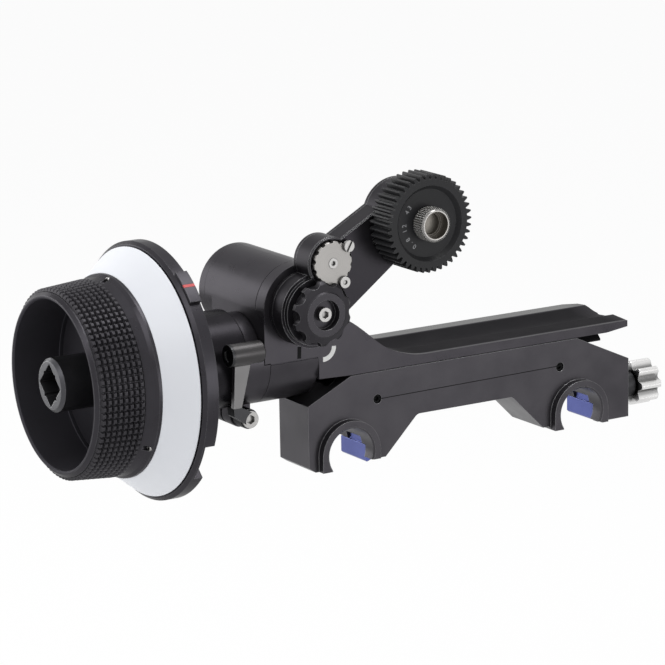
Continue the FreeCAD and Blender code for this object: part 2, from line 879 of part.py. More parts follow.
def makeSpindle():
    rear = gearboxRearY + capDepth - half
    main = cylY(outputX, outputZ, spindleRadius, armFrontY + armHubRecess, rear)
    tip = cylY(outputX, outputZ, spindleTipRadius, lockFrontY + lockRecessDepth, armFrontY + overcut)
    body = joined([main, tip])
    screwFront = lockFrontY + lockRecessDepth
    return body.cut(cylY(outputX, outputZ, lockScrewShank, screwFront - overcut,
                         screwFront + lockScrewShankLength))


def makeSpindleNut():
    rear = gearboxRearY + capDepth
    return ringY(outputX, outputZ, nutRadius, spindleRadius, rear - nutLength, rear - half)


def makeLockScrew():
    rear = lockFrontY + lockRecessDepth
    head = cylY(outputX, outputZ, lockScrewRadius, rear - lockScrewHead, rear)
    shank = cylY(outputX, outputZ, lockScrewShank, rear, rear + lockScrewShankLength - half)
    screw = joined([head, shank])
    return screw.cut(hexPrismY(outputX, outputZ, lockScrewHex, rear - lockScrewHead - overcut,
                               rear - overcut + half * half))


def makeLayCover():
    y0 = pairFrontY + pairFace + 2 * overcut
    cover = cylY(outputX, wheelAxisZ, layCoverRadius, y0, carriageRearY)
    cover = cover.cut(cylY(outputX, outputZ, capSpigotRadius + slideGap, y0 - overcut,
                           carriageRearY + overcut))
    return cover.cut(cylY(outputX, wheelAxisZ, layBearingRadius, y0 - overcut, y0 + layBearingLength))


def makeLayBearings():
    rear = pairFrontY + pairFace + 2 * overcut
    return Part.makeCompound([
        ringY(outputX, wheelAxisZ, layBearingRadius, layShaftRadius + runFit, layFrontY,
              layFrontY + layBearingLength),
        ringY(outputX, wheelAxisZ, layBearingRadius, layShaftRadius + runFit, rear,
              rear + layBearingLength),
    ])


def makeOutputBearings():
    front = armRearY + armPivotDepth + half + looseFit
    return Part.makeCompound([
        ringY(outputX, outputZ, outputBearingRadius, outputShaftRadius + runFit, front,
              front + outputBearingLength),
        ringY(outputX, outputZ, outputBearingRadius, outputShaftRadius + runFit, capSpigotFrontY,
              capSpigotFrontY + outputBearingLength),
    ])


def makeHousing():
    spigotLeft = housingLeftX - ringSeatLength
    body = turnX([
        (spigotLeft, 0), (spigotLeft, ringSeatRadius), (housingLeftX, ringSeatRadius),
        (housingLeftX, housingRadius - half), (housingLeftX + half, housingRadius),
        (housingRightX - housingChamfer, housingRadius), (housingRightX, housingRadius - housingChamfer),
        (housingRightX, housingSpigotRadius), (housingSpigotEndX, housingSpigotRadius),
        (housingSpigotEndX, 0)], wheelAxisY, wheelAxisZ)
    low = ringX(wheelAxisY, wheelAxisZ, housingRadius + overcut, housingSpigotRadius,
                splitLeftX - slideGap, housingRightX + overcut)
    low = low.common(box(splitLeftX - overcut, housingRightX + 2 * overcut,
                         wheelAxisY - 2 * housingRadius, wheelAxisY + 2 * housingRadius,
                         wheelAxisZ - 2 * housingRadius, splitTopZ + slideGap))
    body = body.cut(low)
    body = body.cut(cylX(wheelAxisY, wheelAxisZ, shaftBoreRadius, spigotLeft - overcut,
                         housingSpigotEndX + overcut))
    for x in housingBearingPlaces():
        body = body.cut(cylX(wheelAxisY, wheelAxisZ, housingBearingRadius, x, x + housingBearingLength))
    front = housingLeftX - ringSeatLength
    return body.cut(cylX(wheelAxisY, wheelAxisZ, housingBearingRadius, front - overcut,
                         front + housingBearingLength + half))


def housingBearingPlaces():
    return [housingLeftX - ringSeatLength + half, housingSpigotEndX - housingBearingLength]


def makeHousingBearings():
    rings = []
    for x in housingBearingPlaces():
        rings.append(ringX(wheelAxisY, wheelAxisZ, housingBearingRadius, inputShaftRadius + runFit,
                           x, x + housingBearingLength))
    return Part.makeCompound(rings)


def makeSplitCollar():
    ring = ringX(wheelAxisY, wheelAxisZ, housingRadius, splitInnerRadius, splitLeftX, splitRightX)
    away = box(splitLeftX - overcut, splitRightX + overcut, wheelAxisY - 2 * housingRadius,
               wheelAxisY + 2 * housingRadius, splitTopZ, splitTopZ + 2 * housingRadius)
    block = box(outputX - gearboxRadius - looseFit, splitRightX + overcut,
                wheelAxisY - 2 * housingRadius, wheelAxisY + 2 * housingRadius,
                wheelAxisZ - looseFit, splitTopZ + overcut)
    ring = ring.cut(away).cut(block)
    band = ringX(wheelAxisY, wheelAxisZ, splitBandRadius, splitInnerRadius, splitLeftX + splitBandStep,
                 outputX - gearboxRadius - looseFit)
    ring = ring.fuse(band)
    lug = cylY(lugX, lugZ, lugRadius, lugFrontY, lugRearY)
    web = box(lugX - lugRadius, lugX + lugRadius, lugFrontY, lugRearY, lugZ, lugZ + lugRadius)
    body = joined([ring, lug.fuse(web)])
    body = body.cut(cylX(wheelAxisY, wheelAxisZ, splitInnerRadius, splitLeftX - overcut,
                         splitRightX + overcut))
    slot = box(splitLeftX - overcut, splitRightX + overcut, wheelAxisY - splitSlot * half,
               wheelAxisY + splitSlot * half, lugZ - 2 * lugRadius, wheelAxisZ)
    body = body.cut(slot)
    return body.cut(cylY(lugX, lugZ, pinchRadius, lugFrontY - overcut, lugRearY + overcut))


def makePinchBolt():
    front = leverHubFrontY - pinchHeadLength
    head = cylY(lugX, lugZ, pinchHeadRadius, front, leverHubFrontY)
    shank = cylY(lugX, lugZ, pinchRadius, leverHubFrontY, lugRearY + nutBarrelLength)
    bolt = joined([head, shank])
    return bolt.cut(hexPrismY(lugX, lugZ, pinchHex, front - overcut, leverHubFrontY))


def makePinchNut():
    return ringY(lugX, lugZ, nutBarrelRadius, pinchRadius, lugRearY, lugRearY + nutBarrelLength)


def makePinchCap():
    y0 = lugRearY + nutBarrelLength
    return cylY(lugX, lugZ, nutBarrelRadius, y0, y0 + nutCapLength)


def leverSlant(z):
    return leverPlateBottomY + leverPlateLean * (z - leverPlateBottomZ)


def makeLever():
    x0, x1 = leverBarrelX
    barrel = cylX(leverBarrelY, leverBarrelZ, leverBarrelRadius, x0, x1)
    barrel = barrel.makeChamfer(half, [e for e in barrel.Edges if abs(e.CenterOfMass.x - x1) < half])
    outline = [(leverPlateBottom[0], leverPlateBottomZ), (leverPlateBottom[1], leverPlateBottomZ),
               (leverPlateTop[1], leverBarrelZ), (leverPlateTop[0], leverBarrelZ)]
    slab = prismY(outline, -housingRadius, housingRadius)
    side = leverPlateThick * half
    top = leverBarrelZ + overcut
    low = leverPlateBottomZ - overcut
    lean = prismX([(leverSlant(low) - side, low), (leverSlant(low) + side, low),
                   (leverSlant(top) + side, top), (leverSlant(top) - side, top)],
                  leverPlateTop[0] - overcut, x1)
    return joined([barrel, slab.common(lean)])


def makeLeverCap():
    x0 = leverBarrelX[0]
    cap = cylX(leverBarrelY, leverBarrelZ, leverBarrelRadius, x0 - leverCapLength, x0)
    return cap.cut(hexPrismX(leverBarrelY, leverBarrelZ, leverBarrelRadius * half,
                             x0 - leverCapLength - overcut, x0 - leverCapLength * half))


def makeLeverHub():
    rear = lugFrontY - slideGap
    hub = cylY(lugX, lugZ, leverHubRadius, leverHubFrontY, rear)
    front = leverPlateBottomY - leverPlateThick * half
    reach = prismY([(leverPlateBottom[0], leverPlateBottomZ), (leverPlateBottom[1], leverPlateBottomZ),
                    (lugX + leverHubRadius * half, lugZ + leverHubRadius * half),
                    (lugX - leverHubRadius * half, lugZ - leverHubRadius * half),
                    (leverPlateBottom[0], leverPlateBottomZ - leverReachDrop)],
                   front, leverHubFrontY + overcut)
    clear = cylY(lugX, lugZ, pinchHeadRadius + looseFit, front - overcut, leverHubFrontY)
    body = joined([hub, reach.cut(clear)])
    bore = cylY(lugX, lugZ, pinchRadius + runFit, front - overcut, rear + overcut)
    return body.cut(bore)


# ---------------------------------------------------------------- gear train

def makeInputShaft():
    x0 = hubFaceX + socketDepth + wheelScrewHead
    main = cylX(wheelAxisY, wheelAxisZ, inputShaftRadius, x0, bevelBackX() - looseFit)
    nose = cylX(wheelAxisY, wheelAxisZ, inputNoseRadius, bevelBackX() - overcut, bevelNoseX())
    shaft = joined([main, nose])
    return shaft.cut(cylX(wheelAxisY, wheelAxisZ, wheelScrewShank, x0 - overcut,
                          x0 + wheelScrewShankLength))



def bevelBackX():
    return outputX - gearModule * bevelTeeth * half - bevelHub


def bevelNoseX():
    pitch = gearModule * bevelTeeth * half
    slant = math.hypot(pitch, pitch)
    return outputX - pitch * (slant - bevelFace) / slant - half * half


def makeInputBevel():
    gear = bevelBlank(0, inputNoseRadius, layBearingRadius, bevelHub)
    # Z axis to X axis, a tooth centre towards -Y
    gear.rotate(Vec(0, 0, 0), axisY, quarterTurn)
    gear.rotate(Vec(0, 0, 0), axisX, -quarterTurn)
    gear.rotate(Vec(0, 0, 0), axisX, fullTurn * half)
    gear.translate(Vec(outputX, wheelAxisY, wheelAxisZ))
    return gear


def makeLayBevel():
    gap = fullTurn * half / bevelTeeth
    gear = bevelBlank(gap, layShaftRadius, layBearingRadius, bevelHub)
    gear.rotate(Vec(0, 0, 0), axisX, -quarterTurn)
    gear.translate(Vec(outputX, wheelAxisY, wheelAxisZ))
    return gear


def makeLayShaft():
    rear = pairFrontY + pairFace + 2 * overcut + layBearingLength
    return cylY(outputX, wheelAxisZ, layShaftRadius, layFrontY + looseFit, rear - looseFit)


def makeLayGear():
    return spurGear(pairTeeth, outputX, wheelAxisZ, quarterTurn, pairFrontY, pairFrontY + pairFace,
                    layShaftRadius)


def makeOutputGear():
    phase = -quarterTurn + fullTurn * half / pairTeeth
    return spurGear(pairTeeth, outputX, outputZ, phase, pairFrontY, pairFrontY + pairFace,
                    outputShaftRadius)


def makeOutputShaft():
    rear = capSpigotFrontY + outputBearingLength
    return ringY(outputX, outputZ, outputShaftRadius, spindleRadius + runFit,
                 armGearFrontY, rear)


def makeSunGear():
    root = gearModule * (sunTeeth * half - rootExtra)
    return ringY(outputX, outputZ, root, outputShaftRadius, armGearFrontY,
                 armGearFrontY + armGearFace)


# ---------------------------------------------------------------- swing arm

idlerOneReach = gearModule * (sunTeeth + idlerOneTeeth) * half
idlerOne = onCircle(outputX, outputZ, idlerOneReach, idlerOneAngle)


def meetPoint(first, firstReach, second, secondReach):
    # corner of a triangle on the lower side of the line between two gear centres
    dx = second[0] - first[0]
    dz = second[1] - first[1]
    span = math.hypot(dx, dz)
    along = (firstReach ** 2 - secondReach ** 2 + span ** 2) / (2 * span)
    rise = math.sqrt(firstReach ** 2 - along ** 2)
    ux = dx / span
    uz = dz / span
    return (first[0] + along * ux + rise * uz, first[1] + along * uz - rise * ux)


idlerTwo = meetPoint(idlerOne, gearModule * (idlerOneTeeth + idlerTwoTeeth) * half,
                     (driveX, driveZ), gearModule * (idlerTwoTeeth + pinionTeeth) * half)


def bearingTo(first, second):
    return math.degrees(math.atan2(second[1] - first[1], second[0] - first[0]))


idlerOnePhase = bearingTo(idlerOne, idlerTwo)
idlerTwoPhase = bearingTo(idlerTwo, idlerOne) + fullTurn * half / idlerTwoTeeth
pinionOffset = bearingTo(idlerTwo, (driveX, driveZ)) - idlerTwoPhase
pinionPhase = (bearingTo((driveX, driveZ), idlerTwo) + pinionOffset * idlerTwoTeeth / pinionTeeth
               + fullTurn * half / pinionTeeth)
drivePhase = pinionPhase


def armOutline(y0, y1, inset=0.0):
    hub = cylY(outputX, outputZ, armHubRadius - inset, y0, y1)
    tip = cylY(driveX, driveZ, armTipRadius - inset, y0, y1)
    lobe = cylY(idlerOne[0], idlerOne[1], idlerLobeRadius - inset, y0, y1)
    return joined([hub, tip, lobe, prismY(armWeb(inset), y0, y1)])


def armWeb(inset):
    # straight sides of the arm: the lower one runs parallel to the line between hub and tip
    span = math.hypot(driveX - outputX, driveZ - outputZ)
    reach = armLowerReach - inset
    dx = reach * (driveZ - outputZ) / span
    dz = reach * (outputX - driveX) / span
    ex = upperEdgeEnd[0] - upperEdgeStart[0]
    ez = upperEdgeEnd[1] - upperEdgeStart[1]
    size = math.hypot(ex, ez)
    ex /= size
    ez /= size
    places = []
    for px, pz in ((driveX, driveZ), idlerOne):
        t = (px - upperEdgeStart[0]) * ex + (pz - upperEdgeStart[1]) * ez
        places.append((upperEdgeStart[0] + t * ex + inset * ez, upperEdgeStart[1] + t * ez - inset * ex))
    return [(outputX + dx, outputZ + dz), (driveX + dx, driveZ + dz), (driveX, driveZ), places[0],
            places[1], idlerOne, (outputX, outputZ)]


def hubStep():
    # the hub's front is narrower than its rear, outside the arm itself
    y0 = armFrontY - overcut
    ring = ringY(outputX, outputZ, armHubRadius + overcut, armHubFrontRadius, y0, armHubStepY)
    lobe = cylY(idlerOne[0], idlerOne[1], idlerLobeRadius, y0 - overcut, armHubStepY + overcut)
    return ring.cut(prismY(armWeb(0.0), y0 - overcut, armHubStepY + overcut)).cut(lobe)


def trainSpots():
    return [(outputX, outputZ, sunTeeth), (idlerOne[0], idlerOne[1], idlerOneTeeth),
            (idlerTwo[0], idlerTwo[1], idlerTwoTeeth), (driveX, driveZ, pinionTeeth)]


def clampScrewSpots():
    pitch = fullTurn / discScallops
    spots = []
    for k in (0, discClampGapScallops):
        spots.append(onCircle(idlerOne[0], idlerOne[1], discClampPlace, discClampAngle - k * pitch))
    return spots


def makeArmBody():
    body = armOutline(armFrontY + armBevel, armSplitY)
    lid = armOutline(armFrontY, armFrontY + armBevel, armBevel * half)
    body = joined([body, lid]).cut(hubStep())
    for x, z, teeth in trainSpots():
        reach = gearModule * (teeth + 2) * half + looseFit + slideGap
        reach = min(reach, idlerLobeRadius - overcut) if teeth == idlerOneTeeth else reach
        body = body.cut(cylY(x, z, reach, armCavityFrontY, armSplitY + overcut))
    body = body.cut(cylY(outputX, outputZ, armHubRecessRadius, armFrontY - overcut,
                         armFrontY + armHubRecess))
    body = body.cut(cylY(outputX, outputZ, spindleRadius + runFit, armFrontY, armSplitY))
    body = body.cut(cylY(driveX, driveZ, gearBearingRadius, armFrontY - overcut, armSplitY))
    discRear = discFrontY + discThickness
    body = body.cut(cylY(idlerOne[0], idlerOne[1], discPocketRadius, armFrontY - overcut, discRear))
    body = body.cut(cylY(idlerOne[0], idlerOne[1], idlerPinRadius, discRear - overcut, armSplitY))
    body = body.cut(cylY(idlerTwo[0], idlerTwo[1], idlerPinRadius, armFrontY + overcut, armSplitY))
    for x, z in clampScrewSpots():
        body = body.cut(cylY(x, z, discClampShankRadius, armFrontY - overcut,
                             discFrontY + discClampShankLength))
    for x, z in coverScrewPlaces:
        body = body.cut(cylY(x, z, coverScrewRadius, armRearY - coverScrewLength, armSplitY + overcut))
    x, z = armDotPlace
    body = body.cut(cylY(x, z, armDotRadius, armFrontY - overcut, armFrontY + armDotDepth))
    return body


def makeArmCover():
    body = armOutline(armSplitY, armRearY)
    pivot = cylY(outputX, outputZ, armPivotRadius, armRearY - half, armRearY + armPivotDepth)
    body = joined([body, pivot])
    body = body.cut(cylY(outputX, outputZ, outputShaftRadius + overcut, armSplitY - overcut,
                         armRearY + armPivotDepth + overcut))
    body = body.cut(cylY(driveX, driveZ, gearBearingRadius, armSplitY - overcut, armRearY + overcut))
    for x, z in (idlerOne, idlerTwo):
        body = body.cut(cylY(x, z, idlerPinRadius, armSplitY - overcut, armRearY + overcut))
    for x, z in coverScrewPlaces:
        body = body.cut(cylY(x, z, coverScrewRadius, armSplitY - overcut, armRearY + overcut))
    return body


def makeCoverScrews():
    screws = []
    for x, z in coverScrewPlaces:
        screws.append(cylY(x, z, coverScrewRadius, armRearY - coverScrewLength, armRearY))
    return Part.makeCompound(screws)


def makeArmDot():
    x, z = armDotPlace
    y0 = armFrontY + armDotDepth * half
    return cylY(x, z, armDotRadius, y0, armFrontY + armDotDepth)


def makeLockKnob():
    front = lockFrontY
    knob = turnY([
        (front, lockRecessRadius), (front, lockFaceRadius - half), (front + half, lockFaceRadius),
        (front + lockBevel, lockBodyRadius), (front + lockFlangeFront, lockFlangeRadius),
        (front + lockFlangeRear, lockFlangeRadius), (front + lockFlangeRear, lockNeckRadius),
        (lockRearY, lockNeckRadius),
        (lockRearY, spindleTipRadius + slideGap),
        (front + lockRecessDepth, spindleTipRadius + slideGap),
        (front + lockRecessDepth, lockRecessRadius)], outputX, outputZ)
    for k in range(lockNotches):
        x, z = onCircle(outputX, outputZ, lockNotchPlace, fullTurn * k / lockNotches)
        knob = knob.cut(cylY(x, z, lockNotchRadius, front - overcut, lockRearY + overcut))
    return knob


def makeIdlerOne():
    return spurGear(idlerOneTeeth, idlerOne[0], idlerOne[1], idlerOnePhase, armGearFrontY,
                    armGearFrontY + armGearFace, idlerPinRadius + runFit)


def makeIdlerTwo():
    return spurGear(idlerTwoTeeth, idlerTwo[0], idlerTwo[1], idlerTwoPhase, armGearFrontY,
                    armGearFrontY + armGearFace, idlerPinRadius + runFit)


def makeIdlerOnePin():
    front = discFrontY - discScrewProud + discScrewHead
    pin = cylY(idlerOne[0], idlerOne[1], idlerPinRadius, front, armRearY)
    return pin.cut(cylY(idlerOne[0], idlerOne[1], idlerPinRadius * half, front - overcut,
                        armFrontY + armWall))


def makeIdlerTwoPin():
    return cylY(idlerTwo[0], idlerTwo[1], idlerPinRadius, armFrontY + overcut, armRearY)


def makeBacklashDisc():
    x, z = idlerOne
    rear = discFrontY + discThickness
    disc = turnY([(discFrontY, 0), (discFrontY, discRadius - half * half),
                  (discFrontY + half * half, discRadius), (rear, discRadius), (rear, 0)], x, z)
    for k in range(discScallops):
        a = discClampAngle + fullTurn * k / discScallops
        px, pz = onCircle(x, z, discScallopPlace, a)
        disc = disc.cut(cylY(px, pz, discScallopRadius, discFrontY - overcut, rear + overcut))
    seat = discFrontY - discScrewProud + discScrewHead
    disc = disc.cut(cylY(x, z, discScrewRadius, discFrontY - overcut, seat))
    return disc.cut(cylY(x, z, idlerPinRadius, seat - slideGap, rear + overcut))


def makeBacklashScrew():
    x, z = idlerOne
    front = discFrontY - discScrewProud
    head = cylY(x, z, discScrewRadius, front, front + discScrewHead)
    shank = cylY(x, z, idlerPinRadius * half, front + discScrewHead, armFrontY + armWall - looseFit)
    screw = joined([head, shank])
    return screw.cut(hexPrismY(x, z, discScrewHex, front - overcut, front + overcut))


def makeDiscClamps():
    parts = []
    for k, (x, z) in enumerate(clampScrewSpots()):
        front = discFrontY - discClampHeadHeight
        head = cylY(x, z, discClampHeadRadius, front, discFrontY)
        shank = cylY(x, z, discClampShankRadius, discFrontY, discFrontY + discClampShankLength)
        screw = joined([head, shank])
        if k == 0:
            slot = box(x - 2 * discClampHeadRadius, x + 2 * discClampHeadRadius,
                       front - overcut, front + discClampSlotDepth,
                       z - discClampSlotWidth * half, z + discClampSlotWidth * half)
            slot.rotate(Vec(x, 0, z), axisY, discClampSlotAngle)
            screw = screw.cut(slot)
        else:
            screw = screw.cut(hexPrismY(x, z, discScrewHex, front - overcut, front + discClampSlotDepth))
        parts.append(screw)
    return Part.makeCompound(parts)


def makeGearShaft():
    rear = armRearY - slideGap
    main = cylY(driveX, driveZ, gearShaftRadius, driveFrontY + driveFace - overcut, rear)
    seat = cylY(driveX, driveZ, driveShaftRadius, driveShaftFrontY, armFrontY - looseFit)
    return joined([main, seat])


def makeGearBearings():
    return Part.makeCompound([
        ringY(driveX, driveZ, gearBearingRadius, gearShaftRadius + runFit, armFrontY,
              armCavityFrontY),
        ringY(driveX, driveZ, gearBearingRadius, gearShaftRadius + runFit, armSplitY, armRearY),
    ])


def makePinion():
    return spurGear(pinionTeeth, driveX, driveZ, pinionPhase, armGearFrontY,
                    armGearFrontY + armGearFace, gearShaftRadius)


def makeDriveGear():
    rear = driveFrontY + driveFace
    gear = spurGear(driveTeeth, driveX, driveZ, drivePhase, driveFrontY, rear, driveShaftRadius,
                    driveFlankSteps)
    gear = gear.cut(Part.makeCone(dishRadius, dishFloorRadius, dishDepth,
                                  Vec(driveX, driveFrontY, driveZ), axisY))
    return gear.cut(cylY(driveX, driveZ, collarRadius, driveFrontY - overcut,
                         driveFrontY + collarDepth))


def makeGearCollar():
    rear = driveFrontY + collarDepth
    return turnY([(collarFrontY, collarBoreRadius), (collarFrontY, collarRadius - collarChamfer),
                  (collarFrontY + collarChamfer, collarRadius), (rear, collarRadius),
                  (rear, driveShaftRadius), (driveFrontY, driveShaftRadius),
                  (driveFrontY, collarBoreRadius)], driveX, driveZ)


# ---------------------------------------------------------------- hand wheel

def hubProfile():
    spigotEndX = cupFloorX + hubSpigotLength
    return [
        (hubFaceX, 0), (hubFaceX, hubRadius - hubChamfer), (hubFaceX + hubChamfer, hubRadius),
        (cupFloorX, hubRadius), (cupFloorX, hubSpigotRadius), (spigotEndX, hubSpigotRadius),
        (spigotEndX, 0),
    ]


def knurlProfile():
    # ring ribs of the grip, which widens towards the flange
    points = []
    for k in range(2 * knurlRows + 1):
        share = k / (2.0 * knurlRows)
        x = knurlLeftX + share * (knurlRightX - knurlLeftX)
        base = rimRadius + share * (knurlEndRadius - rimRadius)
        points.append((x, base + knurlHeight * (k % 2)))
    return points


def wheelProfile():
    spigotEndX = cupFloorX + hubSpigotLength
    cup = [
        (spigotEndX, inputShaftRadius), (spigotEndX, hubSpigotRadius), (cupFloorX, hubSpigotRadius),
        (cupFloorX, cupRadius - overcut), (cupFloorX - overcut, cupRadius),
        (rimX + cupLip, cupRadius), (rimX, cupRadius + cupLip), (rimX, rimRadius - rimChamfer),
        (rimX + rimChamfer, rimRadius),
    ]
    flange = [
        (knurlRightX, knurlEndRadius - knurlGroove),
        (knurlRightX + knurlGroove, knurlEndRadius - knurlGroove),
        (knurlRightX + knurlGroove, knurlEndRadius), (bandEndX, bandRadius), (flangeX, flangeRadius),
        (wheelBackX, flangeRadius), (wheelBackX, bossRadiusRear), (wheelRearX, bossRadiusRear),
        (wheelRearX, inputShaftRadius),
    ]
    return cup + knurlProfile() + flange


def makeHandWheel():
    return turnX(wheelProfile(), wheelAxisY, wheelAxisZ).cut(markingScrewHoles(bandEndX - 2 * overcut))


def makeDriveHub():
    hub = turnX(hubProfile(), wheelAxisY, wheelAxisZ)
    side = socketAcross * half
    socket = box(hubFaceX - overcut, hubFaceX + socketDepth, -side, side, -side, side)
    socket.rotate(Vec(0, 0, 0), axisX, eighthTurn)
    side = socketTwin * half
    twin = box(hubFaceX - overcut, hubFaceX + socketDepth, -side, side, -side, side)
    for tool in (socket, twin):
        tool.translate(Vec(0, wheelAxisY, wheelAxisZ))
        hub = hub.cut(tool)
    seat = hubFaceX + socketDepth + wheelScrewHead
    hub = hub.cut(cylX(wheelAxisY, wheelAxisZ, wheelScrewRadius, hubFaceX + overcut, seat))
    spigotEndX = cupFloorX + hubSpigotLength
    return hub.cut(cylX(wheelAxisY, wheelAxisZ, inputShaftRadius, seat, spigotEndX + overcut))


def makeWheelScrew():
    x0 = hubFaceX + socketDepth
    head = cylX(wheelAxisY, wheelAxisZ, wheelScrewRadius, x0, x0 + wheelScrewHead)
    shank = cylX(wheelAxisY, wheelAxisZ, wheelScrewShank, x0 + wheelScrewHead,
                 x0 + wheelScrewHead + wheelScrewShankLength - half)
    screw = joined([head, shank])
    return screw.cut(hexPrismX(wheelAxisY, wheelAxisZ, wheelScrewHex, x0 - overcut,
                               x0 + wheelScrewHead * half))


def screwSpot(angle):
    return onCircle(wheelAxisY, wheelAxisZ, markingScrewPlace, angle)


def markingScrewHoles(x0):
    end = markingScrewFrontX + markingScrewLength
    holes = []
    for angle in markingScrewAngles:
        y, z = screwSpot(angle)
        holes.append(cylX(y, z, markingScrewRadius, x0, end))
    return Part.makeCompound(holes)


def makeMarkingDisc():
    disc = turnX([(wheelBackX, bossRadiusRear), (wheelBackX, discInnerR),
                  (markingRimX, discOuterR), (markingRearX, discOuterR),
                  (markingRearX, bossRadiusRear)], wheelAxisY, wheelAxisZ)
    return disc.cut(markingScrewHoles(wheelBackX - overcut))


def makeMarkingScrews():
    x0 = markingScrewFrontX
    screws = []
    for angle in markingScrewAngles:
        y, z = screwSpot(angle)
        screw = cylX(y, z, markingScrewRadius, x0, x0 + markingScrewLength)
        screws.append(screw.cut(hexPrismX(y, z, markingScrewHex, x0 - overcut, x0 + half)))
    return Part.makeCompound(screws)


# ---------------------------------------------------------------- index ring

def sector(inner, outer, start, stop, x0, x1):
    ring = ringX(wheelAxisY, wheelAxisZ, outer, inner, x0, x1)
    reach = outer * 2
    mid = (start + stop) * half
    spread = (stop - start) * half
    points = [(wheelAxisY, wheelAxisZ)]
    for a in (start, mid, stop):
        stretch = reach if a == mid else reach / math.cos(math.radians(spread))
        points.append(onCircle(wheelAxisY, wheelAxisZ, stretch, a))
    return ring.common(prismX(points, x0 - overcut, x1 + overcut))


def makeIndexRing():
    inner = ringSeatRadius + runFit
    ring = turnX([(ringFrontX, inner), (ringFrontX, ringRadius - ringChamfer),
                  (ringFrontX + ringChamfer, ringRadius), (ringRearX, ringRadius),
                  (ringRearX, inner)], wheelAxisY, wheelAxisZ)
    notch = sector(notchInner, ringRadius + overcut, notchFrom, notchTo, notchX, ringRearX + overcut)
    return ring.cut(notch)


def makePointer():
    block = sector(ringRadius, pointerRadius, pointerFrom, pointerTo, ringFrontX + ringChamfer, ringRearX)
    return block.cut(pointerLine())


def pointerLine():
    low = pointerRadius - pointerLineDepth
    line = box(ringFrontX, ringRearX + overcut, low, pointerRadius + overcut,
               -pointerLineWidth * half, pointerLineWidth * half)
    line.rotate(Vec(0, 0, 0), axisX, pointerLineAngle)
    line.translate(Vec(0, wheelAxisY, wheelAxisZ))
    return line


def makePointerMark():
    block = sector(ringRadius, pointerRadius, pointerFrom, pointerTo, ringFrontX + ringChamfer, ringRearX)
    return block.common(pointerLine())


parts = {
    "bridge_body": makeBridge,
    "left_jaw": lambda: makeJaw(leftRodX),
    "right_jaw": lambda: makeJaw(rightRodX),
    "tie_bar": makeTieBar,
    "tie_bar_pins": makeTiePins,
    "tie_bore_plug": makeTiePlug,
    "clamp_screw": makeClampScrew,
    "clamp_bushing": makeClampBushing,
    "clamp_knob": makeClampKnob,
    "bridge_set_screws": makeBridgeScrews,
    "carriage": makeCarriage,
    "gearbox_rear_cap": makeRearCap,
    "arm_spindle": makeSpindle,
    "spindle_nut": makeSpindleNut,
    "lock_screw": makeLockScrew,
    "lay_shaft_cover": makeLayCover,
    "lay_bearings": makeLayBearings,
    "output_bearings": makeOutputBearings,
    "wheel_housing": makeHousing,
    "housing_bearings": makeHousingBearings,
    "split_collar": makeSplitCollar,
    "pinch_bolt": makePinchBolt,
    "pinch_nut": makePinchNut,
    "pinch_nut_cap": makePinchCap,
    "clamp_lever": makeLever,
    "lever_end_cap": makeLeverCap,
    "lever_hub": makeLeverHub,
    "input_shaft": makeInputShaft,
    "input_bevel": makeInputBevel,
    "lay_shaft": makeLayShaft,
    "lay_bevel": makeLayBevel,
    "lay_gear": makeLayGear,
    "output_shaft": makeOutputShaft,
    "output_gear": makeOutputGear,
    "sun_gear": makeSunGear,
    "arm_body": makeArmBody,
    "arm_cover": makeArmCover,
    "cover_screws": makeCoverScrews,
    "arm_face_screw": makeArmDot,
    "lock_knob": makeLockKnob,
    "idler_one": makeIdlerOne,
    "idler_one_pin": makeIdlerOnePin,
    "backlash_disc": makeBacklashDisc,
    "backlash_screw": makeBacklashScrew,
    "disc_clamp_screws": makeDiscClamps,
    "idler_two": makeIdlerTwo,
    "idler_two_pin": makeIdlerTwoPin,
    "gear_shaft": makeGearShaft,
    "gear_bearings": makeGearBearings,
    "drive_pinion": makePinion,
    "drive_gear": makeDriveGear,
    "gear_collar": makeGearCollar,
    "hand_wheel": makeHandWheel,
    "drive_hub": makeDriveHub,
    "wheel_screw": makeWheelScrew,
    "marking_disc": makeMarkingDisc,
    "marking_screws": makeMarkingScrews,
    "index_ring": makeIndexRing,
    "pointer_block": makePointer,
    "pointer_mark": makePointerMark,
}

os.makedirs("parts", exist_ok=True)
for name, maker in parts.items():
    shape = maker()
    print(name, "ok" if shape.isValid() else "INVALID", len(shape.Solids), round(shape.Volume, 1))
    shape.exportStep("parts/" + name + ".step")
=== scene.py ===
import math

import bmesh
import bpy
from mathutils import Matrix, Vector


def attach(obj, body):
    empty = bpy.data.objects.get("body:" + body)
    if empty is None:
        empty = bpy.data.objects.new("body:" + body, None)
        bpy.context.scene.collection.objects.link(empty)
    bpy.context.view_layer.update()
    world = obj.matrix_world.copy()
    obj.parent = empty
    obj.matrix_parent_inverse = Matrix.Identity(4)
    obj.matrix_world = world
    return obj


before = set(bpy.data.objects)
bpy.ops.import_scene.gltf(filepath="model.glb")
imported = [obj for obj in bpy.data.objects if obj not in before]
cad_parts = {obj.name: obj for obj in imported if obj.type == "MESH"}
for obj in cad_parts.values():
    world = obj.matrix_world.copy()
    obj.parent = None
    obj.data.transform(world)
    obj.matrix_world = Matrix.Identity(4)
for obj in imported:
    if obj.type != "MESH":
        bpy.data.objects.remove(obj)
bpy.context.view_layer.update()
mm = 0.001
print("frame loaded:", len(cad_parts), "nodes")


# small helpers for node trees

nodeGrid = {"across": 8, "stepX": 220, "stepY": 320}


def addNode(tree, kind, **settings):
    node = tree.nodes.new(kind)
    for name, value in settings.items():
        setattr(node, name, value)
    return node


def feed(tree, socket, value):
    # links another node's output, or sets a plain value
    if isinstance(value, bpy.types.NodeSocket):
        tree.links.new(value, socket)
    else:
        socket.default_value = value


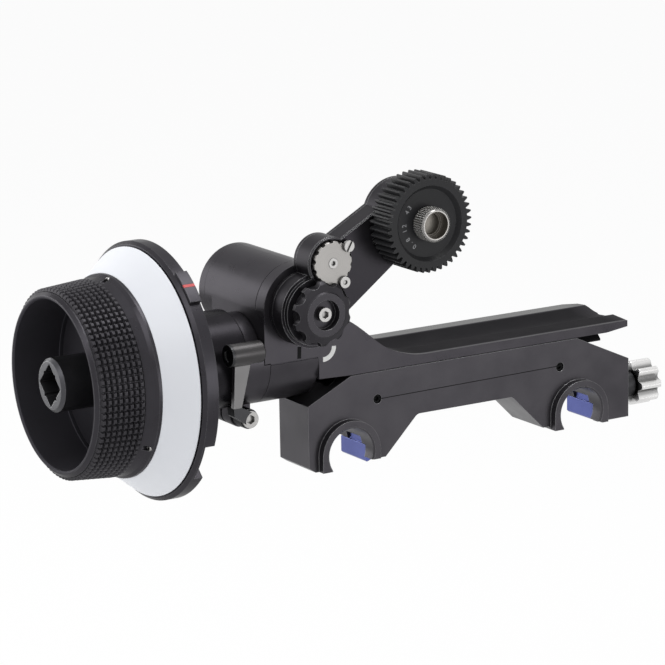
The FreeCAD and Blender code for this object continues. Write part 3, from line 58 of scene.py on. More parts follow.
def mathNode(tree, operation, first, second=None, clamp=False):
    node = addNode(tree, "ShaderNodeMath", operation=operation, use_clamp=clamp)
    feed(tree, node.inputs[0], first)
    if second is not None:
        feed(tree, node.inputs[1], second)
    return node.outputs[0]


def vectorNode(tree, operation, first, second=None):
    node = addNode(tree, "ShaderNodeVectorMath", operation=operation)
    feed(tree, node.inputs[0], first)
    if second is not None:
        feed(tree, node.inputs[1], second)
    return node.outputs["Value" if operation in ("LENGTH", "DOT_PRODUCT") else "Vector"]


def ramped(tree, value, low, high):
    # 0 at low and 1 at high, and held beyond both
    node = addNode(tree, "ShaderNodeMapRange")
    feed(tree, node.inputs["Value"], value)
    feed(tree, node.inputs["From Min"], low)
    feed(tree, node.inputs["From Max"], high)
    return node.outputs["Result"]


def groupSockets(tree, inputs, outputs):
    # an input has a kind and, but for vectors and materials, the value it starts with
    for name, (kind, *start) in inputs.items():
        socket = tree.interface.new_socket(name=name, in_out="INPUT", socket_type="NodeSocket" + kind)
        if start:
            socket.default_value = start[0]
    for name, kind in outputs.items():
        tree.interface.new_socket(name=name, in_out="OUTPUT", socket_type="NodeSocket" + kind)
    return addNode(tree, "NodeGroupInput").outputs, addNode(tree, "NodeGroupOutput").inputs


def objectCoords(tree):
    return addNode(tree, "ShaderNodeTexCoord").outputs["Object"]


def noise(tree, coords, scale, detail):
    node = addNode(tree, "ShaderNodeTexNoise")
    feed(tree, node.inputs["Vector"], coords)
    feed(tree, node.inputs["Scale"], scale)
    feed(tree, node.inputs["Detail"], detail)
    return node.outputs["Fac"]


def layOut(tree):
    # sets the nodes out in rows, in the order they were made
    for k, node in enumerate(tree.nodes):
        row, column = divmod(k, nodeGrid["across"])
        node.location = (column * nodeGrid["stepX"], -row * nodeGrid["stepY"])


# surface effects that the finishes share

edgeLook = {"samples": 6, "flat": 0.995, "sharp": 0.86, "patchScale": 420.0, "patchDetail": 3.0}


def makeEdgeHighlight():
    # Mask is 1 on sharp edges and 0 on flat faces, broken up a little along the edge, and sets where a
    # painted highlight goes
    tree = bpy.data.node_groups.new("edgeHighlight", "ShaderNodeTree")
    give, take = groupSockets(tree, {"Width": ("Float", 0.3 * mm), "Breakup": ("Float", 0.3)},
                              {"Mask": "Float", "Normal": "Vector"})
    rounded = addNode(tree, "ShaderNodeBevel", samples=edgeLook["samples"])
    feed(tree, rounded.inputs["Radius"], give["Width"])
    surface = addNode(tree, "ShaderNodeNewGeometry")
    match = vectorNode(tree, "DOT_PRODUCT", rounded.outputs["Normal"], surface.outputs["Normal"])
    edge = ramped(tree, match, edgeLook["flat"], edgeLook["sharp"])
    patches = noise(tree, objectCoords(tree), edgeLook["patchScale"], edgeLook["patchDetail"])
    loss = mathNode(tree, "MULTIPLY", patches, give["Breakup"])
    feed(tree, take["Mask"], mathNode(tree, "SUBTRACT", edge, loss, clamp=True))
    feed(tree, take["Normal"], rounded.outputs["Normal"])
    layOut(tree)
    return tree


grainLook = {"grainDetail": 2.0, "patchDetail": 4.0, "patchLow": 0.3, "patchHigh": 0.7}


def makeGrain():
    # fine blasted grain, with slow patches between the Low and the High roughness
    tree = bpy.data.node_groups.new("blastGrain", "ShaderNodeTree")
    give, take = groupSockets(tree, {
        "Grain": ("Float", 5200.0), "Patch": ("Float", 90.0), "Low": ("Float", 0.32), "High": ("Float", 0.48),
    }, {"Roughness": "Float", "Height": "Float", "Tone": "Float"})
    coords = objectCoords(tree)
    grain = noise(tree, coords, give["Grain"], grainLook["grainDetail"])
    patch = noise(tree, coords, give["Patch"], grainLook["patchDetail"])
    tone = ramped(tree, patch, grainLook["patchLow"], grainLook["patchHigh"])
    span = mathNode(tree, "SUBTRACT", give["High"], give["Low"])
    rise = mathNode(tree, "MULTIPLY", tone, span)
    feed(tree, take["Roughness"], mathNode(tree, "ADD", give["Low"], rise))
    feed(tree, take["Height"], grain)
    feed(tree, take["Tone"], tone)
    layOut(tree)
    return tree


def fromAxis(tree, give):
    # the place seen from Centre, and the part of it that lies across the axis
    # Across is 1 in the two directions that cross the axis
    shifted = vectorNode(tree, "SUBTRACT", objectCoords(tree), give["Centre"])
    return shifted, vectorNode(tree, "MULTIPLY", shifted, give["Across"])


lineLook = {"detail": 2.0, "low": 0.35, "high": 0.65}


def makeTurning():
    # lathe lines around an axis
    tree = bpy.data.node_groups.new("turnedLines", "ShaderNodeTree")
    give, take = groupSockets(tree, {
        "Centre": ("Vector",), "Across": ("Vector",), "Lines": ("Float", 4000.0),
    }, {"Height": "Float", "Tone": "Float"})
    shifted, flat = fromAxis(tree, give)
    radius = vectorNode(tree, "LENGTH", flat)
    along = vectorNode(tree, "LENGTH", vectorNode(tree, "SUBTRACT", shifted, flat))
    lines = addNode(tree, "ShaderNodeTexNoise", noise_dimensions="1D")
    feed(tree, lines.inputs["W"], mathNode(tree, "ADD", radius, along))
    feed(tree, lines.inputs["Scale"], give["Lines"])
    feed(tree, lines.inputs["Detail"], lineLook["detail"])
    feed(tree, take["Height"], lines.outputs["Fac"])
    feed(tree, take["Tone"], ramped(tree, lines.outputs["Fac"], lineLook["low"], lineLook["high"]))
    layOut(tree)
    return tree


recessLook = {"samples": 6, "open": 0.85, "deep": 0.25}


def makeRecess():
    # Mask is highest deep in grooves, slots and sockets, and sets where painted shade goes
    tree = bpy.data.node_groups.new("recessShade", "ShaderNodeTree")
    give, take = groupSockets(tree, {"Reach": ("Float", 0.8 * mm), "Strength": ("Float", 0.8)},
                              {"Mask": "Float"})
    shade = addNode(tree, "ShaderNodeAmbientOcclusion", samples=recessLook["samples"])
    feed(tree, shade.inputs["Distance"], give["Reach"])
    depth = ramped(tree, shade.outputs["AO"], recessLook["open"], recessLook["deep"])
    feed(tree, take["Mask"], mathNode(tree, "MULTIPLY", depth, give["Strength"], clamp=True))
    layOut(tree)
    return tree


def makeStretch():
    # Mask is 1 inside a box, and each pair of its sides fades over a length in Soft
    tree = bpy.data.node_groups.new("insideBox", "ShaderNodeTree")
    give, take = groupSockets(tree, {"Low": ("Vector",), "High": ("Vector",), "Soft": ("Vector",)},
                              {"Mask": "Float"})
    coords = objectCoords(tree)
    above = vectorNode(tree, "SUBTRACT", coords, give["Low"])
    below = vectorNode(tree, "SUBTRACT", give["High"], coords)
    eased = vectorNode(tree, "DIVIDE", vectorNode(tree, "MINIMUM", above, below), give["Soft"])
    parts = addNode(tree, "ShaderNodeSeparateXYZ")
    feed(tree, parts.inputs[0], eased)
    x, y, z = parts.outputs
    feed(tree, take["Mask"], mathNode(tree, "MINIMUM", mathNode(tree, "MINIMUM", x, y), z, clamp=True))
    layOut(tree)
    return tree


def makeAround():
    # Mask goes from 0 to 1 as the distance from an axis goes from Near to Far
    tree = bpy.data.node_groups.new("aroundAxis", "ShaderNodeTree")
    give, take = groupSockets(tree, {
        "Centre": ("Vector",), "Across": ("Vector",), "Near": ("Float", 5.0 * mm), "Far": ("Float", 6.0 * mm),
    }, {"Mask": "Float"})
    shifted, flat = fromAxis(tree, give)
    past = mathNode(tree, "SUBTRACT", vectorNode(tree, "LENGTH", flat), give["Near"])
    span = mathNode(tree, "SUBTRACT", give["Far"], give["Near"])
    feed(tree, take["Mask"], mathNode(tree, "DIVIDE", past, span, clamp=True))
    layOut(tree)
    return tree


edgeHighlight = makeEdgeHighlight()
blastGrain = makeGrain()
turnedLines = makeTurning()
recessShade = makeRecess()
insideBox = makeStretch()
aroundAxis = makeAround()
print("surface effects made")


# finishes

across = {"X": (0.0, 1.0, 1.0), "Y": (1.0, 0.0, 1.0)}  # the directions that cross each axis

wheelCentre = (0.0, 21.0 * mm, 38.1 * mm)
gearboxCentre = (-70.5 * mm, 0.0, 57.3 * mm)
driveCentre = (-30.6 * mm, 0.0, 87.0 * mm)
discCentre = (-64.5 * mm, 0.0, 74.7 * mm)
knobCentre = (0.0, 13.25 * mm, 4.2 * mm)
leverCentre = (-98.0 * mm, -3.6 * mm, 45.3 * mm)

cupPaintedLight = (0.052, 0.050, 0.058)

cupLightAndShade = [  # from the outside in: the cup's wall, the chamfer at its floor, the floor; wall and floor get a lighter tone as painted light in the shaded cup, the chamfer a near-black band of painted shade
    {"radii": (31.2 * mm, 31.6 * mm), "tone": cupPaintedLight, "dull": 0.3},
    {"radii": (30.42 * mm, 30.55 * mm), "tone": (0.01, 0.01, 0.012)},
    {"radii": (29.5 * mm, 29.7 * mm), "tone": cupPaintedLight},
]

railShadeAndHighlight = [  # painted shade in the rail's trough, and a painted highlight on the strip behind it
    {"low": (-45.0 * mm, 4.5 * mm, 10.0 * mm), "high": (90.0 * mm, 34.5 * mm, 70.0 * mm),
     "soft": (20.0 * mm, 0.6 * mm, 1.0 * mm), "tone": (0.018, 0.0172, 0.019), "dull": 0.5},
    {"low": (-55.0 * mm, 34.5 * mm, 10.0 * mm), "high": (90.0 * mm, 40.5 * mm, 70.0 * mm),
     "soft": (20.0 * mm, 0.2 * mm, 1.0 * mm), "tone": (0.20, 0.20, 0.20)},
]

plainLook = {  # what a finish has where it says nothing else
    "metallic": 0.0, "specular": 0.5,
    "grazing": (1.0, 1.0, 1.0),  # tint of the light that glances off at a low angle
    "grain": 5200.0, "patch": 90.0, "bump": 0.12, "depth": 0.04 * mm,
    "highlight": 0.0, "breakup": 0.3,
    "lines": 4000.0, "lineTone": 0.3, "grainShare": 0.3,
    "recess": 0.0, "reach": 0.8 * mm, "recessShadeColour": (0.01, 0.01, 0.01),
    "rings": [], "stretches": [],
}

finishes = {
    "satinBlack": {
        "colours": ((0.045, 0.0425, 0.048), (0.057, 0.054, 0.060)), "roughness": (0.28, 0.38),
        "metallic": 0.7, "specular": 0.2, "bump": 0.10,
        "edge": 0.4 * mm, "highlight": 0.6, "highlightColour": (0.4, 0.4, 0.41),
    },
    "armBlack": {
        "colours": ((0.021, 0.0195, 0.023), (0.029, 0.0272, 0.031)), "roughness": (0.30, 0.40),
        "metallic": 0.7, "specular": 0.2, "grazing": (0.6, 0.6, 0.6), "bump": 0.10,
        "edge": 0.3 * mm, "highlight": 0.7, "highlightColour": (0.42, 0.42, 0.43),
    },
    "carriageBlack": {
        "colours": ((0.041, 0.0385, 0.044), (0.053, 0.050, 0.056)), "roughness": (0.26, 0.36),
        "metallic": 0.7, "specular": 0.2, "grazing": (0.5, 0.5, 0.5), "bump": 0.10,
        "edge": 0.2 * mm, "highlight": 0.22, "highlightColour": (0.2, 0.2, 0.21), "stretches": railShadeAndHighlight,
    },
    "barrelBlack": {
        "colours": ((0.0155, 0.0145, 0.017), (0.0215, 0.020, 0.023)), "roughness": (0.24, 0.32),
        "metallic": 0.6, "specular": 0.2, "grazing": (0.36, 0.35, 0.37), "bump": 0.08,
        "axis": "X", "centre": wheelCentre, "lines": 2600.0,
        "edge": 0.4 * mm, "highlight": 0.4, "highlightColour": (0.25, 0.25, 0.26),
    },
    "knobBlack": {
        "colours": ((0.033, 0.031, 0.035), (0.043, 0.041, 0.046)), "roughness": (0.26, 0.36),
        "metallic": 0.6, "specular": 0.2, "grazing": (0.5, 0.5, 0.5), "bump": 0.08,
        "axis": "Y", "centre": gearboxCentre, "lines": 2600.0,
        "edge": 0.3 * mm, "highlight": 0.6, "highlightColour": (0.34, 0.34, 0.35),
    },
    "wheelBlack": {
        "colours": ((0.035, 0.033, 0.038), (0.045, 0.043, 0.049)), "roughness": (0.24, 0.34),
        "metallic": 0.6, "specular": 0.18, "grazing": (0.45, 0.45, 0.45), "bump": 0.10,
        "axis": "X", "centre": wheelCentre, "lines": 1800.0, "rings": cupLightAndShade,
        "edge": 0.4 * mm, "highlight": 0.35, "highlightColour": (0.32, 0.32, 0.33),
    },
    "hubGrey": {
        "colours": ((0.06, 0.06, 0.066), (0.08, 0.08, 0.086)), "roughness": (0.34, 0.46),
        "metallic": 0.9, "specular": 0.3, "axis": "X", "centre": wheelCentre,
        "edge": 0.4 * mm, "highlight": 0.6, "highlightColour": (0.35, 0.35, 0.36),
    },
    "markingWhite": {
        "colours": ((0.80, 0.815, 0.85), (0.77, 0.785, 0.825)), "roughness": (0.38, 0.5),
        "patch": 40.0, "grain": 3800.0, "edge": 0.3 * mm, "bump": 0.06,
    },
    "blueAnodised": {
        "colours": ((0.068, 0.085, 0.27), (0.085, 0.104, 0.31)), "roughness": (0.28, 0.38),
        "metallic": 0.75, "edge": 0.3 * mm, "highlight": 0.5, "highlightColour": (0.36, 0.4, 0.62),
    },
    "silverKnob": {
        "colours": ((0.70, 0.695, 0.69), (0.78, 0.775, 0.77)), "roughness": (0.2, 0.3),
        "metallic": 1.0, "axis": "X", "centre": knobCentre, "lines": 5200.0,
        "lineColour": (0.45, 0.45, 0.45), "edge": 0.4 * mm, "highlight": 0.6, "highlightColour": (0.8, 0.8, 0.8),
        "rings": [{"radii": (6.2 * mm, 7.8 * mm), "tone": (0.13, 0.13, 0.13)}], "recess": 0.7,
    },
    "silverDisc": {
        "colours": ((0.23, 0.222, 0.214), (0.29, 0.281, 0.272)), "roughness": (0.34, 0.46),
        "metallic": 1.0, "axis": "Y", "centre": discCentre, "lines": 5200.0,
        "lineColour": (0.17, 0.165, 0.16), "edge": 0.25 * mm, "highlight": 0.5, "highlightColour": (0.62, 0.61, 0.6),
        "recess": 1.0,
    },
    "silverCollar": {
        "colours": ((0.20, 0.193, 0.188), (0.28, 0.272, 0.265)), "roughness": (0.16, 0.26),
        "metallic": 1.0, "axis": "Y", "centre": driveCentre, "lines": 3600.0,
        "lineColour": (0.09, 0.09, 0.09), "edge": 0.3 * mm, "highlight": 0.5, "highlightColour": (0.8, 0.8, 0.79),
        "rings": [{"radii": (4.95 * mm, 5.15 * mm), "tone": (0.20, 0.188, 0.172)}],
    },
    "leverSteel": {
        "colours": ((0.20, 0.196, 0.198), (0.25, 0.245, 0.247)), "roughness": (0.3, 0.42),
        "metallic": 1.0, "axis": "X", "centre": leverCentre, "lines": 3000.0,
        "edge": 0.4 * mm, "highlight": 0.7, "highlightColour": (0.6, 0.6, 0.6),
        # painted reflection: a dark tone on the lever's barrel, the part within this radius of its axis
        "rings": [{"radii": (4.4 * mm, 4.8 * mm), "tone": (0.055, 0.053, 0.054)}],
    },
    "collarSteel": {
        "colours": ((0.11, 0.106, 0.102), (0.15, 0.145, 0.14)), "roughness": (0.26, 0.36),
        "metallic": 1.0, "axis": "Y", "centre": driveCentre, "lines": 3000.0,
        "edge": 0.2 * mm, "highlight": 0.7, "highlightColour": (0.5, 0.5, 0.49),
    },
    "screwSteel": {
        "colours": ((0.27, 0.265, 0.26), (0.34, 0.335, 0.33)), "roughness": (0.3, 0.42),
        "metallic": 1.0, "edge": 0.2 * mm, "highlight": 0.4, "highlightColour": (0.6, 0.6, 0.6), "recess": 1.0,
    },
    "threadDark": {
        "colours": ((0.12, 0.112, 0.10), (0.17, 0.16, 0.145)), "roughness": (0.3, 0.4),
        "metallic": 1.0, "axis": "Y", "centre": driveCentre, "lines": 5000.0, "edge": 0.2 * mm,
    },
    "blackSteel": {
        "colours": ((0.035, 0.035, 0.037), (0.05, 0.05, 0.053)), "roughness": (0.3, 0.42),
        "metallic": 0.9, "specular": 0.3, "grazing": (0.5, 0.5, 0.5),
        "edge": 0.2 * mm, "highlight": 0.6, "highlightColour": (0.4, 0.4, 0.4),
    },
    "gearSteel": {
        "colours": ((0.36, 0.355, 0.35), (0.44, 0.435, 0.43)), "roughness": (0.28, 0.4),
        "metallic": 1.0, "edge": 0.2 * mm,
    },
    "gearBlack": {
        "colours": ((0.018, 0.018, 0.019), (0.024, 0.024, 0.026)), "roughness": (0.42, 0.54),
        "specular": 0.16, "bump": 0.10, "axis": "Y", "centre": driveCentre, "lines": 2200.0,
        "edge": 0.25 * mm, "highlight": 0.5, "highlightColour": (0.17, 0.17, 0.175),
    },
    "knurlBlack": {
        "colours": ((0.034, 0.032, 0.037), (0.044, 0.042, 0.047)), "roughness": (0.40, 0.52),
        "metallic": 0.5, "specular": 0.25, "grazing": (0.45, 0.45, 0.45), "bump": 0.08,
        "edge": 0.22 * mm, "highlight": 0.35, "highlightColour": (0.20, 0.20, 0.21),
    },
    "redFill": {
        "colours": ((0.50, 0.018, 0.02), (0.42, 0.014, 0.016)), "roughness": (0.4, 0.5), "edge": 0.1 * mm,
    },
    "whiteFill": {
        "colours": ((0.84, 0.84, 0.82), (0.8, 0.8, 0.78)), "roughness": (0.45, 0.55), "edge": 0.1 * mm,
    },
    "numberGrey": {
        "colours": ((0.38, 0.38, 0.39), (0.3, 0.3, 0.31)), "roughness": (0.45, 0.55),
        "specular": 0.2, "edge": 0.1 * mm,
    },
    # painted shade: near-black and dull, for the dark set screws deepened to the shade of their holes, and
    # for the shade in the engraved line and the slot
    "grooveShade": {
        "colours": ((0.006, 0.006, 0.0065), (0.009, 0.009, 0.0095)), "roughness": (0.6, 0.7),
        "specular": 0.1, "edge": 0.1 * mm,
    },
}


def placeGroup(tree, group, **values):
    node = addNode(tree, "ShaderNodeGroup", node_tree=group)
    for name, value in values.items():
        node.inputs[name].default_value = value
    return node.outputs


def opaque(colour):
    return colour + (1.0,) if isinstance(colour, tuple) else colour


def mixColour(tree, share, first, second):
    node = addNode(tree, "ShaderNodeMix", data_type="RGBA")
    feed(tree, node.inputs["Factor"], share)
    feed(tree, node.inputs[6], opaque(first))  # colour A
    feed(tree, node.inputs[7], opaque(second))  # colour B
    return node.outputs[2]  # the mixed colour


def dulled(tree, roughness, mask, amount):
    # rougher by the amount where the mask is 1
    return mathNode(tree, "ADD", roughness, mathNode(tree, "MULTIPLY", mask, amount), clamp=True)


def addLines(tree, look, colour, height):
    lines = placeGroup(tree, turnedLines, Centre=look["centre"], Across=across[look["axis"]],
                       Lines=look["lines"])
    tone = mathNode(tree, "MULTIPLY", lines["Tone"], look["lineTone"])
    colour = mixColour(tree, tone, colour, look.get("lineColour", look["colours"][0]))
    grain = mathNode(tree, "MULTIPLY", height, look["grainShare"])
    return colour, mathNode(tree, "ADD", grain, lines["Height"])


def addRing(tree, look, ring, colour, roughness):
    # another tone nearer to the axis than the ring's radii
    near, far = ring["radii"]
    outside = placeGroup(tree, aroundAxis, Centre=look["centre"], Across=across[look["axis"]],
                         Near=near, Far=far)["Mask"]
    if "dull" in ring:
        inside = mathNode(tree, "SUBTRACT", 1.0, outside)
        roughness = dulled(tree, roughness, inside, ring["dull"])
    return mixColour(tree, outside, ring["tone"], colour), roughness


def addStretch(tree, stretch, colour, roughness):
    mask = placeGroup(tree, insideBox, Low=stretch["low"], High=stretch["high"], Soft=stretch["soft"])["Mask"]
    if "dull" in stretch:
        roughness = dulled(tree, roughness, mask, stretch["dull"])
    return mixColour(tree, mask, colour, stretch["tone"]), roughness


def makeFinish(name, given):
    look = {**plainLook, **given}
    material = bpy.data.materials.new(name)
    material.use_nodes = True
    tree = material.node_tree
    tree.nodes.clear()
    output = addNode(tree, "ShaderNodeOutputMaterial")
    shader = addNode(tree, "ShaderNodeBsdfPrincipled")
    feed(tree, output.inputs["Surface"], shader.outputs["BSDF"])
    low, high = look["roughness"]
    grain = placeGroup(tree, blastGrain, Grain=look["grain"], Patch=look["patch"], Low=low, High=high)
    edges = placeGroup(tree, edgeHighlight, Width=look["edge"], Breakup=look["breakup"])
    colour = mixColour(tree, grain["Tone"], *look["colours"])
    roughness = grain["Roughness"]
    height = grain["Height"]
    if "axis" in look:
        colour, height = addLines(tree, look, colour, height)
    # painted highlight: a lighter colour on sharp edges
    if look["highlight"] > 0.0:
        shine = mathNode(tree, "MULTIPLY", edges["Mask"], look["highlight"])
        colour = mixColour(tree, shine, colour, look["highlightColour"])
    for ring in look["rings"]:
        colour, roughness = addRing(tree, look, ring, colour, roughness)
    for stretch in look["stretches"]:
        colour, roughness = addStretch(tree, stretch, colour, roughness)
    # painted shade: a darker colour deep in grooves, slots and sockets
    if look["recess"] > 0.0:
        deep = placeGroup(tree, recessShade, Reach=look["reach"], Strength=look["recess"])
        colour = mixColour(tree, deep["Mask"], colour, look["recessShadeColour"])
    bump = addNode(tree, "ShaderNodeBump")
    feed(tree, bump.inputs["Strength"], look["bump"])
    feed(tree, bump.inputs["Distance"], look["depth"])
    feed(tree, bump.inputs["Height"], height)
    feed(tree, bump.inputs["Normal"], edges["Normal"])
    feed(tree, shader.inputs["Base Color"], colour)
    feed(tree, shader.inputs["Roughness"], roughness)
    feed(tree, shader.inputs["Metallic"], look["metallic"])
    feed(tree, shader.inputs["Specular IOR Level"], look["specular"])
    feed(tree, shader.inputs["Specular Tint"], opaque(look["grazing"]))
    feed(tree, shader.inputs["Normal"], bump.outputs["Normal"])
    layOut(tree)
    return material


materials = {name: makeFinish(name, look) for name, look in finishes.items()}
print("finishes made:", len(materials))

nodeFinish = {
    "satinBlack": ["bridge_body"],
    "armBlack": ["arm_body", "arm_cover"],
    "carriageBlack": ["carriage", "gearbox_rear_cap", "lay_shaft_cover", "split_collar"],
    "barrelBlack": ["wheel_housing"],
    "knobBlack": ["lock_knob"],
    "wheelBlack": ["hand_wheel", "index_ring", "pointer_block"],
    "hubGrey": ["drive_hub"],
    "markingWhite": ["marking_disc"],
    "blueAnodised": ["left_jaw", "right_jaw"],
    "silverKnob": ["clamp_knob"],
    "silverDisc": ["backlash_disc"],
    "silverCollar": ["gear_collar"],
    "leverSteel": ["clamp_lever"],
    "screwSteel": ["tie_bar", "tie_bar_pins", "clamp_screw", "arm_spindle", "spindle_nut", "lock_screw",
                   "pinch_bolt", "pinch_nut", "input_shaft", "lay_shaft", "output_shaft", "idler_one_pin",
                   "backlash_screw", "disc_clamp_screws", "idler_two_pin", "marking_screws"],
    "threadDark": ["gear_shaft"],
    "grooveShade": ["bridge_set_screws"],
    "blackSteel": ["tie_bore_plug", "clamp_bushing", "pinch_nut_cap", "lever_end_cap",
                   "lever_hub", "cover_screws", "arm_face_screw", "wheel_screw"],
    "gearSteel": ["lay_bearings", "output_bearings", "housing_bearings", "input_bevel", "lay_bevel",
                  "lay_gear", "output_gear", "sun_gear", "idler_one", "idler_two", "gear_bearings",
                  "drive_pinion"],
    "gearBlack": ["drive_gear"],
    "redFill": ["pointer_mark"],
}


def dressNodes():
    dressed = set()
    for finish, names in nodeFinish.items():
        for name in names:
            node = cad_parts[name]
            node.data.materials.clear()
            node.data.materials.append(materials[finish])
            dressed.add(name)
    print("nodes dressed:", len(dressed), "left bare:", sorted(set(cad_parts) - dressed))


dressNodes()


# knurled bands, made of square studs

knurl = {"around": 90, "rows": 8, "firstX": -161.4 * mm, "lastX": -144.9 * mm, "firstRadius": 33.1 * mm,
         "lastRadius": 34.5 * mm, "height": 0.62 * mm, "topShare": 0.5, "gap": 0.04 * mm}

collarKnurl = {"around": 44, "rows": 6, "firstX": -25.0 * mm, "lastX": -19.3 * mm, "firstRadius": 5.86 * mm,
               "lastRadius": 5.86 * mm, "height": 0.22 * mm, "topShare": 0.35, "gap": 0.1 * mm}


def between(tree, low, high, share):
    span = mathNode(tree, "SUBTRACT", high, low)
    return mathNode(tree, "ADD", low, mathNode(tree, "MULTIPLY", share, span))


def joinXYZ(tree, *values):
    node = addNode(tree, "ShaderNodeCombineXYZ")
    for socket, value in zip(node.inputs, values):
        feed(tree, socket, value)
    return node.outputs[0]


def moved(tree, geometry, **changes):
    node = addNode(tree, "GeometryNodeTransform")
    feed(tree, node.inputs["Geometry"], geometry)
    for name, value in changes.items():
        feed(tree, node.inputs[name], value)
    return node.outputs["Geometry"]


def makeStud(tree, give):
    # a four-sided cone of size 1, squared to the axes, then stretched to the stud's size
    corner = math.sqrt(0.5)  # half the diagonal of a square of size 1
    cone = addNode(tree, "GeometryNodeMeshCone", fill_type="NGON")
    feed(tree, cone.inputs["Vertices"], 4)
    feed(tree, cone.inputs["Side Segments"], 1)
    feed(tree, cone.inputs["Radius Bottom"], corner)
    feed(tree, cone.inputs["Radius Top"], mathNode(tree, "MULTIPLY", give["Top Share"], corner))
    feed(tree, cone.inputs["Depth"], 1.0)
    squared = moved(tree, cone.outputs["Mesh"], Rotation=(0.0, 0.0, math.pi / 4))
    size = joinXYZ(tree, give["Stud Long"], give["Stud Wide"], give["Stud Height"])
    return moved(tree, squared, Scale=size)


def makeKnurlTree():
    # studs in rows around a cone on the X axis, all turned and moved to their place at the end
    tree = bpy.data.node_groups.new("knurledBand", "GeometryNodeTree")
    give, take = groupSockets(tree, {
        "Around": ("Int", 86), "Rows": ("Int", 8),
        "First X": ("Float", 0.0), "Last X": ("Float", 20.0 * mm),
        "First Radius": ("Float", 33.0 * mm), "Last Radius": ("Float", 35.0 * mm),
        "Stud Height": ("Float", 0.6 * mm),
        "Stud Long": ("Float", 2.2 * mm), "Stud Wide": ("Float", 2.2 * mm),
        "Top Share": ("Float", 0.35), "Place": ("Vector",), "Turn": ("Vector",), "Finish": ("Material",),
    }, {"Geometry": "Geometry"})
    index = addNode(tree, "GeometryNodeInputIndex").outputs[0]
    nudged = mathNode(tree, "ADD", index, 0.01)  # so that a row's first stud isn't rounded down
    row = mathNode(tree, "FLOOR", mathNode(tree, "DIVIDE", nudged, give["Around"]))
    column = mathNode(tree, "SUBTRACT", index, mathNode(tree, "MULTIPLY", row, give["Around"]))
    share = mathNode(tree, "DIVIDE", mathNode(tree, "ADD", row, 0.5), give["Rows"])
    angle = mathNode(tree, "MULTIPLY", mathNode(tree, "DIVIDE", column, give["Around"]), math.tau)
    x = between(tree, give["First X"], give["Last X"], share)
    radius = between(tree, give["First Radius"], give["Last Radius"], share)
    y = mathNode(tree, "MULTIPLY", mathNode(tree, "COSINE", angle), radius)
    z = mathNode(tree, "MULTIPLY", mathNode(tree, "SINE", angle), radius)
    points = addNode(tree, "GeometryNodePoints")
    feed(tree, points.inputs["Count"], mathNode(tree, "MULTIPLY", give["Around"], give["Rows"]))
    feed(tree, points.inputs["Position"], joinXYZ(tree, x, y, z))
    studs = addNode(tree, "GeometryNodeInstanceOnPoints")
    feed(tree, studs.inputs["Points"], points.outputs[0])
    feed(tree, studs.inputs["Instance"], makeStud(tree, give))
    feed(tree, studs.inputs["Rotation"], joinXYZ(tree, mathNode(tree, "SUBTRACT", angle, math.pi / 2)))
    band = moved(tree, studs.outputs["Instances"], Translation=give["Place"], Rotation=give["Turn"])
    real = addNode(tree, "GeometryNodeRealizeInstances")
    feed(tree, real.inputs["Geometry"], band)
    paint = addNode(tree, "GeometryNodeSetMaterial")
    feed(tree, paint.inputs["Geometry"], real.outputs["Geometry"])
    feed(tree, paint.inputs["Material"], give["Finish"])
    feed(tree, take["Geometry"], paint.outputs["Geometry"])
    layOut(tree)
    return tree


def setInput(modifier, name, value):
    for item in modifier.node_group.interface.items_tree:
        if item.item_type == "SOCKET" and item.in_out == "INPUT" and item.name == name:
            modifier[item.identifier] = value


def bakeTree(name, tree, values, bodyName):
    # runs the tree on an empty mesh and keeps the result as a plain mesh that rides on one body
    holder = bpy.data.objects.new(name + "Holder", bpy.data.meshes.new(name + "Holder"))
    bpy.context.scene.collection.objects.link(holder)
    modifier = holder.modifiers.new("shape", "NODES")
    modifier.node_group = tree
    for key, value in values.items():
        setInput(modifier, key, value)
    bpy.context.view_layer.update()
    graph = bpy.context.evaluated_depsgraph_get()
    mesh = bpy.data.meshes.new_from_object(holder.evaluated_get(graph))
    mesh.name = name
    holder.modifiers.remove(modifier)
    bpy.data.objects.remove(holder)
    piece = bpy.data.objects.new(name, mesh)
    bpy.context.scene.collection.objects.link(piece)
    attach(piece, bodyName)
    return piece


def makeKnurl(name, sizes, place, turn, finish, bodyName):
    pitchX = (sizes["lastX"] - sizes["firstX"]) / sizes["rows"]
    pitchRound = math.tau * sizes["firstRadius"] / sizes["around"]
    values = {
        "Around": sizes["around"], "Rows": sizes["rows"],
        "First X": sizes["firstX"], "Last X": sizes["lastX"],
        "First Radius": sizes["firstRadius"], "Last Radius": sizes["lastRadius"],
        "Stud Height": sizes["height"] * 2,  # from its foot, which is sunk in the piece, to its top
        "Stud Long": pitchX - sizes["gap"], "Stud Wide": pitchRound - sizes["gap"],
        "Top Share": sizes["topShare"], "Place": place, "Turn": turn, "Finish": materials[finish],
    }
    piece = bakeTree(name, knurlTree, values, bodyName)
    print(name, "made:", len(piece.data.polygons), "faces")


alongX = (0.0, 0.0, 0.0)
alongY = (0.0, 0.0, math.pi / 2)
knurlTree = makeKnurlTree()
makeKnurl("wheelKnurl", knurl, wheelCentre, alongX, "knurlBlack", "wheel")
makeKnurl("collarKnurl", collarKnurl, driveCentre, alongY, "collarSteel", "drive_body")


# marks on the front faces: thin closed bands that stand just proud of them; the near-black ones are painted
# shade standing in for an engraved groove and a slot

marks = {"frontY": 2.97 * mm, "backY": 3.2 * mm}

crescent = {"centre": (-61.75 * mm, 41.0 * mm), "radius": 4.5 * mm, "from": -93.0, "to": 0.0,
            "width": 1.8 * mm, "steps": 20}

frontLines = {
    "bridgeLine": {"points": [(-38.1 * mm, 18.2 * mm), (44.6 * mm, 19.0 * mm)], "width": 0.3 * mm,
                   "body": "bridge"},
    "carriageSlot": {"points": [(-71.9 * mm, 42.7 * mm), (-72.1 * mm, 38.3 * mm)], "width": 1.6 * mm,
                     "body": "carriage"},
}


